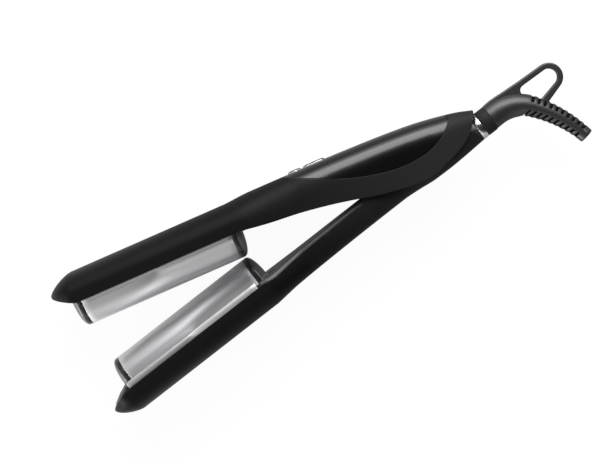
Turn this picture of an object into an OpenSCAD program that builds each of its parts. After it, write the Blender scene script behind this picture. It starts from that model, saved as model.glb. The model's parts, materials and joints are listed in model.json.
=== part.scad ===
// Two-arm deep waver (hair crimper). Each arm carries an S-shaped aluminium plate:
// a barrel beside a trough. The arms face each other with barrel over trough, so
// closing them presses hair into a wave. The tool lies on its side: X runs along
// the lower arm towards the cord, Y towards the upper arm, Z along the hinge pin.
// Lengths are in millimetres, angles in degrees.

/* [Arms] */
// Distance from the hinge pin to the rear end of the wave plates
hinge_to_plate = 131; // [115:1:150]
// Length of the pointed nose beyond the end caps
nose_len = 19; // [17:1:26]
// How much each side of an arm is trimmed flat
side_trim = 0.5; // [0.2:0.1:1]
// Outside width of the handle
handle_w = 42; // [40:0.5:48]
// Wall thickness of the two arm shells
shell_wall = 2; // [1.6:0.1:2.4]
// Wall left beside the plates, where the shell is thinnest
rim_wall = 1.5; // [1.2:0.1:1.6]
// Height of the lower arm's rim above the hinge axis
lower_rim = 8.7; // [8.2:0.1:9.4]
// Gap between the two rims when the tool is closed
rim_gap = 3.7; // [3.5:0.1:5]
// How far the nose point sits back from the rim line
nose_drop = 9.3; // [8:0.1:10.5]
// Angle between the arms when open
open_angle = 14.3; // [10:0.1:15]

/* [Wave plates] */
// Length of the wave plates
plate_len = 104; // [90:1:115]
// Sheet thickness of the wave plates
plate_t = 1.2; // [1:0.1:1.5]
// Outside radius of the barrel
barrel_r = 13; // [12:0.1:14]
// Height of the barrel's axis above the rim
barrel_rise = 4; // [3.6:0.1:4.4]
// Room between a trough and the shell behind it
trough_clear = 1.8; // [1.5:0.1:4]
// Room for hair around a barrel in the other arm's trough
hair_gap = 0.8; // [0.6:0.1:1]
// Room for hair under a barrel's crest
crest_gap = 0.5; // [0.4:0.1:0.8]
// Height of the lip beside the trough, above the rim
lip_h = 2.2; // [1.6:0.1:2.6]

/* [End caps and covers] */
// Width of the black band at each end of a wave plate
cap_band = 3; // [2:0.1:4]
// Bulge of the domed end of a barrel
cap_bulge = 4.2; // [3:0.1:5]
// Length of an end cap's spigot under the wave plate
cap_spigot = 4; // [3:0.5:6]
// Thickness of the inner covers
cover_t = 1.8; // [1.5:0.1:2.2]
// Crown of the inner covers above the rim
cover_crown = 1.3; // [0.8:0.1:1.6]
// Distance from the rear end cap to the screw nearest the wave plate
front_screw_gap = 9.5; // [9:0.1:10.5]
// Distance from the hinge pin to the screw nearest the hinge
rear_screw_x = 52; // [48:1:60]
// Head diameter of the cover screws
screw_head_d = 4.4; // [4:0.1:5]
// Shank diameter of the cover screws
screw_d = 2.4; // [2:0.1:2.8]

/* [Heaters] */
// Length of a heating element
heater_len = 70; // [60:1:80]
// Width of a heating element
heater_w = 12; // [10:0.5:14]
// Thickness of a heating element
heater_t = 3; // [2.5:0.1:3.5]
// Height of the flat under the heat spreader, above the rim
spreader_flat = 9; // [8:0.1:10]
// Thickness of the heater clamp
clamp_t = 1; // [0.8:0.1:1.2]
// Diameter of the insulated leads
lead_d = 2; // [1.6:0.1:2.2]

/* [Hinge] */
// Diameter of the hinge pin
pin_d = 5; // [4:0.5:6]
// Running clearance around the pin, on the radius
pin_clear = 0.05; // [0.02:0.01:0.1]
// Outside diameter of the hinge bushes
bush_d = 8; // [7.5:0.5:9]
// Wire diameter of the opening spring
spring_wire = 1.6; // [1.2:0.1:1.8]
// Turns of the opening spring
spring_turns = 5; // [3:1:5]
// Gap between the lower arm and the upper arm's skirts
skirt_gap = 1; // [0.6:0.1:1.4]

/* [Swivel and strain relief] */
// Diameter of the chrome ring and the swivel collar
collar_d = 17.3; // [16:0.1:18]
// Distance from the hinge pin to the chrome ring
ring_x = 42; // [41:0.5:45]
// Width of the chrome ring
ring_w = 4.6; // [3:0.1:6]
// Length of the swivel collar
collar_len = 7.6; // [6:0.1:9]
// Diameter of the swivel spigot
spigot_d = 9.9; // [9:0.1:10.4]
// Diameter of the strain relief where it leaves the collar
relief_d = 13.6; // [12:0.1:14.5]
// Diameter of the strain relief at its end
relief_end_d = 9.2; // [9:0.1:11]
// Radius of the strain relief's first bend
bend_r = 27; // [22:0.5:32]
// Angle of the first bend
bend_a = 53; // [40:1:55]
// Radius of the ribbed part's bend
rib_bend_r = 90; // [70:1:120]
// Angle of the ribbed part's bend
rib_bend_a = 26; // [20:1:30]
// Bore for the mains cord
cord_d = 6.6; // [5:0.1:7]
// Depth of the cord bore
cord_bore_len = 4.6; // [3.6:0.1:4.6]
// Slots in each row of the strain relief
slot_count = 10; // [6:1:10]
// Width of one slot
slot_w = 1.7; // [1.2:0.1:2]
// Radius of the sleeve inside the slots, as a share of the strain relief's
core_share = 0.82; // [0.7:0.01:0.86]
// Width of the hanging loop's strap
loop_strap = 3.2; // [2.5:0.1:4]
// Thickness of the hanging loop
loop_t = 5; // [4:0.1:7]
// Outside radius of the hanging loop's round end
loop_r = 9.2; // [8:0.1:9.5]
// Distance from the hinge pin to the middle of the loop's round end
loop_x = 98; // [96:0.5:102]

/* [Controls] */
// Diameter of the power button
power_d = 9; // [7:0.1:10]
// Length of the temperature button
temp_len = 15; // [12:0.1:16]
// Width of the temperature button
temp_w = 7; // [6:0.1:8]
// Distance from the hinge pin to the power button
power_x = 78; // [76:0.5:79]
// Distance from the hinge pin to the temperature button
temp_x = 64.5; // [63.5:0.5:65]
// Height that the buttons stand above the shell
button_h = 1; // [0.6:0.1:1.4]
// Thickness of the gloss insert
insert_t = 1.2; // [0.8:0.1:1.4]
// Thickness of the circuit board
board_t = 1.6; // [1.2:0.1:2]

/* [Hidden] */
$fn = 64;

matt_black = [0.10, 0.10, 0.105];
satin_black = [0.16, 0.16, 0.17];
gloss_black = [0.03, 0.03, 0.035];
alloy = [0.72, 0.72, 0.73];

// Small clearances and cutting allowances
fit = 0.15;         // slip fit between pieces that are assembled
seat = 0.05;        // gap between faces that rest on each other
through = 1;        // how far a cut runs past the face that it opens

// Places along X. The tips are on the -X side of the hinge pin.
plate_rear = -hinge_to_plate;
plate_front = plate_rear - plate_len;
band_rear = plate_rear + cap_band;
band_front = plate_front - cap_band;
tip_x = band_front - nose_len;
upper_rim = lower_rim + rim_gap;
front_screw_x = -band_rear - front_screw_gap;
upper_half = handle_w / 2;
lower_half = upper_half - shell_wall - skirt_gap;
neck_r = collar_d / 2;

// Wave section: the barrel's and the trough's circles, above the rim. Their axes are
// as far from the middle plane as the trough is deep in it.
barrel_y = barrel_rise;
barrel_h = barrel_r + barrel_rise;
trough_r = barrel_r + hair_gap;
wave_offset = trough_r;
trough_depth = barrel_h + crest_gap - rim_gap;
trough_y = trough_r - trough_depth;
flank_in = wave_offset - barrel_r;
trough_in = wave_offset - trough_r;
lip_z = wave_offset + trough_r + plate_t;
lip_room = 0.2;      // gap between a plate's lip and the shell
half_w = lip_z + lip_room + rim_wall;
arm_w = 2 * half_w;
side_w = arm_w - 2 * side_trim;
arm_depth = trough_depth + plate_t + trough_clear + shell_wall;
lip_top = min(lip_h, rim_gap - plate_t - 2 * fit);
dome_foot_r = barrel_r - 0.4;
dome_r = (pow(dome_foot_r, 2) + pow(cap_bulge, 2)) / (2 * cap_bulge);
pocket_reach = cap_bulge + hair_gap + 0.5;
pocket_wall = 1.2;

// Arm profiles. Each is a list of [x, value], read with lookup().
taper_lower = [band_rear + 2, band_rear + 34];
taper_upper = [band_rear + 4, band_rear + 48];
hinge_half = 15.5;
round_n = 3;         // squareness of the arms' round section
neck_n = 2;
seat_n = 16;         // squareness of a cover's seat
rim_power = 1.25;    // how quickly the nose's rim and its outer face run to the point
face_power = 1.4;
blunt = 0.975;       // the nose is cut off blunt here
lower_face = [
    [band_rear, lower_rim - arm_depth], [band_rear + 19, -8.6], [-34, -7.5], [-22, -7.5], [-10, -8.4],
    [1, -9.6], [13, -9.8], [26, -9.5], [ring_x, -neck_r]
];
lower_edge = [[-5, lower_rim], [12, lower_rim - 0.6], [28, 3.6], [ring_x, 0]];
lower_top = [[-14, cover_crown], [5, 2], [24, 5.4], [34, 7.5], [ring_x, neck_r]];
lower_width = [
    [-45, lower_half], [-20, hinge_half + 0.6], [0, hinge_half], [14, hinge_half - 1.3],
    [28, 11.4], [ring_x, neck_r]
];
upper_face = [
    [band_rear, upper_rim + arm_depth], [band_rear + 18, upper_rim + arm_depth + 1.1], [-60, 32.2], [-30, 31.6], [-8, 30.7],
    [3, 29.9], [13, 28.8], [23, 27.3], [33, 25.4], [43.6, 22.4]
];
upper_width = [[-6, upper_half], [10, upper_half - 0.8], [26, upper_half - 4], [44, 12.6]];
hood_end = 43.6;
// Side outline of the upper arm behind the plates: the skirts' lower edge
skirt = [
    [band_rear + 7, upper_rim - 0.7], [band_rear + 23, 9.3], [-85, 7.1], [-65, 4.0], [-49, 0.7], [-35, -2.4],
    [-21, -4.6], [-11, -5.8], [-2, -6.0], [5, -4.9], [11, -2.4], [18, 0.7], [25, 4.2],
    [30, 7.7], [34.5, 12], [38.5, 17], [41.6, 22], [hood_end, 24]
];
// Side outline of the gloss insert
insert_outline = [
    [-88, 32.9], [-79, 28.7], [-66, 22.8], [-53, 17.0], [-42, 13.2], [-32, 10.6], [-24, 9.1], [-16, 8.2],
    [-9, 8.0], [-2, 8.6], [4, 9.6], [10, 11.6], [15, 14.1], [19.5, 17], [23, 20.6],
    [25.3, 24], [26.6, 30]
];

function smooth(t) = let (s = min(1, max(0, t))) s * s * (3 - 2 * s);
function ramp(x, span) = smooth((x - span[0]) / (span[1] - span[0]));
function blend(a, b, t) = a + (b - a) * t;
// Share of the nose's full size at x: 1 at the plates, 0 at the tip
function nose(x, power) =
    let (u = blunt * min(1, max(0, (band_front - x) / nose_len))) pow(1 - pow(u, power), 1 / power);
// Half-superellipse from +Z round to -Z: [z, share of depth]
round_steps = 22;
function half_round(w, n) = [
    for (i = [0:round_steps])
        let (a = 180 * i / round_steps, c = cos(a), s = sin(a))
            [w * sign(c) * pow(abs(c), 2 / n), pow(max(0, s), 2 / n)]
];
function nose_y(rim, side, x) = rim - side * nose_drop * (1 - nose(x, rim_power));

// Lower arm, outside
function lower_w(x) =
    (x < -60 ? blend(half_w, lower_half, ramp(x, taper_lower)) : lookup(x, lower_width))
        * nose(x, 2);
function lower_n(x) = blend(round_n, neck_n, ramp(x, [10, ring_x]));
function lower_r(x) = x < band_front ? nose_y(lower_rim, 1, x) : lookup(x, lower_edge);
function lower_b(x) =
    x < band_front
        ? lower_rim - nose_drop - (arm_depth - nose_drop) * nose(x, face_power)
        : lookup(x, lower_face);
// Upper arm, outside
function upper_w(x) =
    (x < -40 ? blend(half_w, upper_half, ramp(x, taper_upper)) : lookup(x, upper_width))
        * nose(x, 2);
function upper_r(x) = nose_y(upper_rim, -1, x);
function upper_b(x) =
    x < band_front
        ? upper_rim + nose_drop + (arm_depth - nose_drop) * nose(x, face_power)
        : lookup(x, upper_face);

// Stations along the arms, as shares of the nose and as places along X
nose_stations = [for (u = [1, 0.95, 0.88, 0.78, 0.66, 0.52, 0.36, 0.18]) band_front - nose_len * u];
cover_nose = 0.9;    // share of the nose that its cover reaches along
solid_from = -14;    // the lower shell is solid behind this, round the hinge
lower_taper_stations = concat(
    [taper_lower[0]], [for (i = [0:6]) band_rear + 7 + 4.5 * i],
    [for (x = [-86, -60, -45, -30]) if (x > taper_lower[1] + 2) x]
);
lower_stations = concat(
    nose_stations, [band_front, band_rear], lower_taper_stations,
    [solid_from, solid_from + 0.2, -6, 3, 12, 20, 28, 35, ring_x]
);
hood_stations = [-94, -89, -84, -80, -60, -45, -30, -18, -6, 3, 13, 23, 33];
upper_taper_stations = concat(
    [taper_upper[0]],
    [for (i = [0:4]) let (x = band_rear + 9 + 5 * i) if (x < hood_stations[0] - 1) x]
);
upper_stations = concat(
    nose_stations, [band_front, band_rear], upper_taper_stations, hood_stations, [hood_end]
);

// Placing: the middle plane of the lying tool is half a side width above the floor.
// The box round the tool runs from the lower tip to the loop, and from the strain
// relief's end to the upper arm's face near its nose.
box_x = [tip_x, loop_x + loop_r];
relief_reach = bend_r * (1 - cos(bend_a)) + rib_bend_r * (cos(bend_a) - cos(bend_a + rib_bend_a))
    + relief_end_d / 2 * cos(bend_a + rib_bend_a);
upper_reach = -band_front * sin(open_angle) + (upper_rim + arm_depth) * cos(open_angle);
module place() {
    translate([
        -(box_x[0] + box_x[1]) / 2, -(upper_reach - relief_reach) / 2, side_w / 2
    ]) children();
}
module upper_pose() {
    place() rotate([0, 0, -open_angle]) children();
}

// Twice the signed area inside a ring of 2D points
function turn(ring) = let (n = len(ring))
    [for (i = [0:n - 1]) cross(ring[i], ring[(i + 1) % n])] * [for (i = [0:n - 1]) 1];
function reverse(list) = [for (i = [len(list) - 1:-1:0]) list[i]];

// A closed solid along X. At each station its section lies between two paths of
// [y, z] points, an outer and an inner one of the same length.
module loft(stations, outer, inner) {
    n = len(outer[0]);
    m = len(stations);
    rings = [for (i = [0:m - 1]) concat(outer[i], reverse(inner[i]))];
    flip = turn(rings[0]) > 0;
    points = [
        for (i = [0:m - 1]) for (p = (flip ? reverse(rings[i]) : rings[i])) [stations[i], p[0], p[1]]
    ];
    walls = [
        for (i = [0:m - 2]) for (j = [0:2 * n - 1])
            let (a = i * 2 * n + j, b = i * 2 * n + (j + 1) % (2 * n), c = a + 2 * n, d = b + 2 * n)
                each [[a, b, d], [a, d, c]]
    ];
    caps = [
        for (base = [0, (m - 1) * 2 * n]) for (i = [0:n - 2])
            let (a = base + i, b = base + i + 1, c = base + 2 * n - 2 - i, d = base + 2 * n - 1 - i)
                each base == 0 ? [[c, b, a], [d, c, a]] : [[a, b, c], [a, c, d]]
    ];
    polyhedron(points = points, faces = concat(walls, caps), convexity = 6);
}

// Extrudes a [z, y] section along X
module along_x(x, length) {
    translate([x, 0, 0]) rotate([0, 90, 0]) linear_extrude(length) mirror([1, 0]) children();
}
module side_flats() {
    translate([tip_x - 5, -80, -side_w / 2]) cube([tip_x * -2, 200, side_w]);
}

// ---- Wave section, in the frame of an arm's rim: barrel on -Z, trough on +Z ----

// Everything below the wave surface, drawn t inside it
module wave_fill(t) {
    difference() {
        union() {
            translate([-lip_z, -arm_depth]) square([2 * lip_z, arm_depth + plate_t - t]);
            translate([-wave_offset - barrel_r + t, -arm_depth])
                square([2 * (barrel_r - t), arm_depth + barrel_y]);
            translate([-wave_offset, barrel_y]) circle(barrel_r - t);
            if (t == 0) lip_section();
        }
        translate([wave_offset, trough_y]) circle(trough_r + t);
        polygon([
            [-flank_in - t, barrel_y], [trough_in - t, trough_y],
            [wave_offset + trough_r + t, trough_y], [wave_offset + trough_r + t, barrel_h],
            [-flank_in - t, barrel_h]
        ]);
    }
}
module lip_section() {
    lip_t = plate_t * 0.9;
    translate([lip_z - plate_t, -plate_t]) square([plate_t, lip_top + plate_t - lip_t / 2]);
    translate([lip_z - plate_t + lip_t / 2, lip_top - lip_t / 2]) circle(lip_t / 2);
    translate([lip_z - lip_t / 2, lip_top - lip_t / 2]) circle(lip_t / 2);
}
// Inside of the shell at the plates
function bay_y(z) = -(arm_depth - shell_wall)
    * pow(1 - pow(abs(z) / (half_w - rim_wall), round_n), 1 / round_n);
module bay_section(clear) {
    w = half_w - rim_wall - clear;
    polygon(concat(
        [for (p = half_round(w, round_n)) [p[0], -(arm_depth - shell_wall - clear) * p[1]]],
        [[-w, barrel_h + 1], [w, barrel_h + 1]]
    ));
}
module wave_plate_body() {
    along_x(plate_front, plate_len) difference() {
        wave_fill(0);
        wave_fill(plate_t);
        // the sheet ends at the trough's wall and at the barrel's foot
        translate([-lip_z - 1, -arm_depth - 1]) square([lip_z + 1 - flank_in - plate_t, arm_depth + 1]);
    }
}

// end: -1 for the front of the plate, +1 for its rear
module end_cap_body(end) {
    plate_end = end < 0 ? plate_front : plate_rear;
    band = end < 0 ? band_front : plate_rear;
    spigot = end < 0 ? plate_front : plate_rear - cap_spigot;
    band_end = plate_end + end * cap_band;
    difference() {
        along_x(band, cap_band) intersection() {
            difference() {
                wave_fill(0.02);
                translate([wave_offset + trough_r, seat]) square([barrel_r, barrel_r]);
            }
            bay_section(fit);
        }
        lead_window();
    }
    difference() {
        along_x(spigot, cap_spigot) intersection() {
            wave_fill(plate_t + fit);
            bay_section(fit);
        }
        along_x(spigot - through, cap_spigot + 2 * through) intersection() {
            wave_fill(plate_t + shell_wall);
            translate([-lip_z, spreader_flat - heater_t - clamp_t - 2 - arm_depth])
                square([wave_offset + barrel_r, arm_depth + barrel_h]);
        }
    }
    // domed end of the barrel, down to the cover
    intersection() {
        translate([end < 0 ? band_end - 2 * cap_bulge : band_end - seat, seat, -2 * wave_offset])
            cube([2 * cap_bulge + seat, 2 * barrel_h, 2 * wave_offset - seat]);
        translate([band_end - end * (dome_r - cap_bulge), barrel_y, -wave_offset])
            sphere(dome_r, $fn = 96);
    }
}
// Window in an end cap for the heater leads
lead_drop = 3.3;     // how far the leads pass below the rim
module lead_window() {
    translate([plate_rear - cap_spigot - through, -lead_drop - 1.4, -wave_offset - 5])
        cube([cap_band + cap_spigot + 2 * through, 6, 10]);
}
// Pocket beyond the trough that takes the other barrel's domed end
module pocket_cone(end, grow, from, reach) {
    band_end = (end < 0 ? plate_front : plate_rear) + end * cap_band;
    translate([band_end + end * from, trough_y, wave_offset]) rotate([0, end * 90, 0])
        cylinder(r1 = trough_r + grow, r2 = trough_r * 0.62 + grow, h = reach);
}
module pocket_cut(end) {
    pocket_cone(end, 0, -seat, pocket_reach);
}
module pocket_block(end) {
    band_end = (end < 0 ? plate_front : plate_rear) + end * cap_band;
    intersection() {
        pocket_cone(end, pocket_wall, seat + fit, pocket_reach + pocket_wall);
        translate([band_end - 2 * arm_depth, -2 * arm_depth, -half_w])
            cube([4 * arm_depth, 2 * arm_depth - cover_t / 2, 2 * half_w]);
    }
}
// Foot of the dome, let into the cover
module dome_foot(end) {
    band_end = (end < 0 ? plate_front : plate_rear) + end * cap_band;
    translate([
        end < 0 ? band_end - cap_bulge - fit : band_end - through, 0, -wave_offset - barrel_r - fit
    ]) cube([cap_bulge + fit + through, barrel_h, 2 * (barrel_r + fit)]);
}

// ---- Heater parts, in the frame of an arm's rim ----

heater_x = (plate_front + plate_rear) / 2;
heater_top = spreader_flat - seat;
clamp_top = heater_top - heater_t - seat;

module heat_spreader_body() {
    along_x(heater_x - plate_len / 2 + cap_spigot + 1, plate_len - 2 * cap_spigot - 2)
        intersection() {
            translate([-wave_offset, barrel_y]) circle(barrel_r - plate_t - seat);
            translate([-wave_offset - barrel_r, spreader_flat]) square([2 * barrel_r, barrel_h]);
        }
}
module heater_body() {
    translate([heater_x - heater_len / 2, heater_top - heater_t, -wave_offset - heater_w / 2])
        cube([heater_len, heater_t, heater_w]);
}
module heater_clamp_body() {
    leg_gap = heater_len * 0.6;
    floor_y = bay_y(wave_offset + heater_w / 3) + fit;
    translate([heater_x - heater_len / 2, clamp_top - clamp_t, -wave_offset - heater_w / 2])
        cube([heater_len, clamp_t, heater_w]);
    for (side = [-1, 1])
        translate([heater_x + side * leg_gap / 2 - clamp_t / 2, floor_y, -wave_offset - heater_w / 3])
            cube([clamp_t, clamp_top - clamp_t - floor_y, heater_w * 2 / 3]);
}

// A round bar along a path, with one radius for each point of it
module tube(path, radii, sides) {
    m = len(path);
    points = [
        for (i = [0:m - 1])
            let (
                run = path[min(i + 1, m - 1)] - path[max(i - 1, 0)],
                ahead = run / norm(run),
                side = cross([0, 0, 1], ahead),
                across = side / norm(side),
                up = cross(ahead, across)
            )
                for (k = [0:sides - 1])
                    let (b = -360 * k / sides)
                        path[i] + radii[i] * (cos(b) * across + sin(b) * up)
    ];
    walls = [
        for (i = [0:m - 2]) for (k = [0:sides - 1])
            let (a = i * sides + k, b = i * sides + (k + 1) % sides)
                each [[a, b, b + sides], [a, b + sides, a + sides]]
    ];
    first = [[for (k = [sides - 1:-1:0]) k]];
    last = [[for (k = [0:sides - 1]) (m - 1) * sides + k]];
    polyhedron(points = points, faces = concat(walls, first, last), convexity = 10);
}
module lead(path) {
    tube(path, [for (p = path) lead_d / 2], 12);
}
// A cover screw: a pan head on a shank, head up in +Y
head_t = 1.2;
head_top = 0.55;     // how far a head stands above the rim
shank_len = 8;
module cover_screw() {
    rotate([-90, 0, 0]) {
        translate([0, 0, head_top - head_t]) cylinder(d = screw_head_d, h = head_t);
        translate([0, 0, head_top - head_t - shank_len]) cylinder(d = screw_d, h = shank_len);
    }
}
// Lid over an arm's open side: crowned outside, with a narrower tongue inside
module lid(stations, w, w_top, rim, crown, side) {
    loft(
        stations,
        [for (x = stations) [
            for (p = half_round(w_top(x), 2)) [rim(x) + side * (seat + crown(x) * p[1]), p[0]]
        ]],
        [for (x = stations) concat(
            [[rim(x) + side * seat, w(x)]],
            [for (i = [1:round_steps - 1])
                [rim(x) - side * cover_t, w(x) * (1 - 2 * (i - 1) / (round_steps - 2))]],
            [[rim(x) + side * seat, -w(x)]]
        )]
    );
}

// ---- Lower arm ----

lower_cover_stations = concat(
    [band_rear + seat], lower_taper_stations,
    [solid_from, -6, 3, 12, 20, 28, 35, ring_x + through]
);
nose_cover_stations = concat(
    [for (u = [cover_nose - 0.03, 0.78, 0.66, 0.52, 0.36, 0.18]) band_front - nose_len * u],
    [band_front - seat]
);
screw_xs = [-front_screw_x, -rear_screw_x];

// Depth of an arm's hollow at x, given how deep the arm is there
function hollow(x, deep) =
    x < band_front - nose_len * 0.94 ? 0.1
    : x < band_front - nose_len * 0.6 ? min(cover_t + 0.4, deep - shell_wall)
    : deep - shell_wall;

function hollow_n(x) = x < band_front - nose_len * 0.6 ? seat_n : round_n;
// Lower arm: the outside and the inside of one wall
function lower_in(x) = blend(
    lower_w(x) - (x <= taper_lower[0] ? rim_wall : shell_wall), socket_r * 0.8, ramp(x, [20, ring_x])
);
module lower_form() {
    loft(
        lower_stations,
        [for (x = lower_stations)
            let (rim = lower_r(x), deep = rim - lower_b(x))
                [for (p = half_round(lower_w(x), lower_n(x))) [rim - deep * p[1], p[0]]]],
        [for (x = lower_stations)
            let (
                rim = lower_r(x), seated = x > solid_from,
                deep = seated ? cover_t + 0.4 : hollow(x, rim - lower_b(x))
            )
                [for (p = half_round(lower_in(x), seated ? seat_n : hollow_n(x)))
                    [rim - deep * p[1], p[0]]]]
    );
}
boss_d = screw_d + 3.2;
module bosses(rim, side, floor_at) {
    for (x = screw_xs)
        let (top = rim - side * (cover_t + seat))
            translate([x, min(top, floor_at(x)), 0]) rotate([-90, 0, 0])
                cylinder(d = boss_d, h = abs(top - floor_at(x)));
}
module screw_holes(rim, side) {
    for (x = screw_xs)
        translate([x, rim, 0]) rotate([side * 90, 0, 0])
            cylinder(d = screw_d + 2 * seat, h = shank_len + head_t);
}
spring_room = [spring_wire * (spring_turns + 1) / 2 + 1, 7.2];
socket_r = spigot_d / 2 + 1.7;
socket_x = 33;

module lower_shell() {
    color(matt_black) place() difference() {
        union() {
            intersection() {
                lower_form();
                side_flats();
            }
            bosses(lower_rim, 1, function (x) lower_b(x) + shell_wall / 2);
        }
        screw_holes(lower_rim, 1);
        // hinge bore through both sides, for the bushes
        translate([0, 0, -half_w]) cylinder(d = bush_d + 2 * seat, h = arm_w);
        // room for the spring, open to the top
        translate([-spring_room[1], -spring_room[1] + 0.6, -spring_room[0]])
            cube([2 * spring_room[1], 30, 2 * spring_room[0]]);
        // channel for the leads from the swivel to the bay
        translate([solid_from - through, -2.4, -3.2]) cube([socket_x - solid_from, 30, 6.4]);
        // bore for the swivel socket
        translate([socket_x - 6, 0, 0]) rotate([0, 90, 0]) cylinder(r = socket_r + seat, h = 30);
    }
}
module screw_recess(x) {
    translate([x, head_top - head_t - seat, 0]) rotate([-90, 17, 0])
        cylinder(d = screw_head_d + 2 * fit, h = 9);
    translate([x, -cover_t - through, 0]) rotate([-90, 17, 0]) cylinder(d = screw_d + 2 * fit, h = 3);
}
module lower_handle_cover() {
    color(satin_black) place() difference() {
        union() {
            lid(
                lower_cover_stations,
                function (x) lower_in(x) - fit,
                function (x) blend(lower_in(x) - fit / 2, lower_w(x), ramp(x, [solid_from, 12])),
                function (x) lower_r(x),
                function (x) x < solid_from ? cover_crown : lookup(x, lower_top), 1
            );
            translate([0, lower_rim, 0]) pocket_block(1);
        }
        translate([0, lower_rim, 0]) {
            pocket_cut(1);
            dome_foot(1);
            for (x = screw_xs) screw_recess(x);
            // the recess over the front screw is oblong
            translate([-front_screw_x, head_top - head_t - seat, -screw_head_d / 2])
                cube([3.5, 9, screw_head_d]);
        }
        // openings for the spring's leg and for the swivel
        translate([-spring_room[1], 0, -spring_room[0]])
            cube([2 * spring_room[1], 30, 2 * spring_room[0]]);
        translate([socket_x - 6, 0, 0]) rotate([0, 90, 0]) cylinder(r = socket_r + seat, h = 30);
        // the rear end is trimmed square, behind the chrome ring
        translate([ring_x - seat, -half_w, -half_w]) cube([10, arm_w, arm_w]);
    }
}
module nose_cover(w, rim, side) {
    lid(
        nose_cover_stations, function (x) w(x) - fit, function (x) w(x) - fit / 2,
        rim, function (x) cover_crown, side
    );
}
module lower_nose_cover() {
    color(satin_black) place() difference() {
        union() {
            nose_cover(function (x) lower_in(x), function (x) lower_r(x), 1);
            translate([0, lower_rim, 0]) pocket_block(-1);
        }
        translate([0, lower_rim, 0]) {
            pocket_cut(-1);
            dome_foot(-1);
        }
    }
}
module on_lower() {
    place() translate([0, lower_rim, 0]) children();
}
module lower_wave_plate() { color(alloy) on_lower() wave_plate_body(); }
module lower_front_cap() { color(gloss_black) on_lower() end_cap_body(-1); }
module lower_rear_cap() { color(gloss_black) on_lower() end_cap_body(1); }
module lower_heat_spreader() { color(alloy) on_lower() heat_spreader_body(); }
module lower_heater() { color("goldenrod") on_lower() heater_body(); }
module lower_heater_clamp() { color("lightsteelblue") on_lower() heater_clamp_body(); }

heater_end = [heater_x + heater_len / 2 + 0.4, heater_top - heater_t / 2];
module lower_leads() {
    color("firebrick") place() for (side = [-1, 1])
        lead([
            [29, 0.4, side * 1.3], [25, 0.6, side * 1.3], [12, 3.6, side * 1.3],
            [6, 5.8, side * 1.3], [-6, 5.8, side * 1.3], [-12, 4, side * 1.5],
            [-24, 1.5, side * 2], [-60, 0.5, side * 5],
            [band_rear + 20, 1.5, side * 3 - 9], [plate_rear + 3, lower_rim - lead_drop, side * 3 - wave_offset],
            [plate_rear - 6, lower_rim - lead_drop, side * 3 - wave_offset],
            [heater_end[0], lower_rim + heater_end[1], side * 3 - wave_offset]
        ]);
}
module lower_screws() {
    color("silver") place() for (x = screw_xs) translate([x, lower_rim, 0]) cover_screw();
}

// ---- Hinge ----

pin_half = upper_half - shell_wall / 2;
module hinge_bushes() {
    color("ivory") place() for (side = [-1, 1]) {
        outer = hinge_half - 1.4;
        translate([0, 0, side > 0 ? spring_room[0] + seat : -outer]) difference() {
            cylinder(d = bush_d, h = outer - spring_room[0] - seat);
            translate([0, 0, -through])
                cylinder(r = pin_d / 2 + pin_clear, h = outer + 2 * through);
        }
    }
}
module hinge_pin() {
    color("silver") place() translate([0, 0, -pin_half]) cylinder(d = pin_d, h = 2 * pin_half);
}
// Torsion spring round the pin: one leg on the lower arm's floor, one under the hood
module opening_spring() {
    per_turn = 14;
    r = pin_d / 2 + spring_wire / 2 + 0.5;
    pitch = spring_wire * 1.08;
    top = spring_turns / 2 * pitch;
    count = spring_turns * per_turn;
    coil = [
        for (i = [0:count])
            let (t = i / per_turn) [r * cos(360 * t), r * sin(360 * t), t * pitch - top]
    ];
    path = concat([[r, -5.2, -top], [r, -1.5, -top]], coil, [[r, 1.5, top], [r, 14, top]]);
    color("silver") place() tube(path, [for (p = path) spring_wire / 2], 8);
}

// ---- Chrome ring and swivel ----

clip_x = socket_x - 1.6;
module ring(x, length, r_out, r_in) {
    translate([x, 0, 0]) rotate([0, 90, 0]) difference() {
        cylinder(r = r_out, h = length);
        translate([0, 0, -through]) cylinder(r = r_in, h = length + 2 * through);
    }
}
module chrome_ring() {
    color("gainsboro") place() ring(ring_x + seat, ring_w - 2 * seat, neck_r, socket_r + seat);
}
module swivel_socket() {
    color(satin_black) place()
        ring(socket_x, ring_x + ring_w - socket_x, socket_r, spigot_d / 2 + pin_clear);
}
collar_x = ring_x + ring_w + 0.3;
module swivel_collar() {
    start = clip_x - 1.5;
    color(matt_black) place() difference() {
        union() {
            ring(collar_x, collar_len - 0.3, neck_r, cord_d / 2);
            ring(start, collar_x - start + through, spigot_d / 2, cord_d / 2);
        }
        ring(clip_x, 1.2, neck_r, spigot_d / 2 - 0.9);
    }
}
module swivel_clip() {
    color("silver") place()
        ring(clip_x + seat, 1.2 - 2 * seat, socket_r - 0.4, spigot_d / 2 - 0.9 + seat);
}

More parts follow.
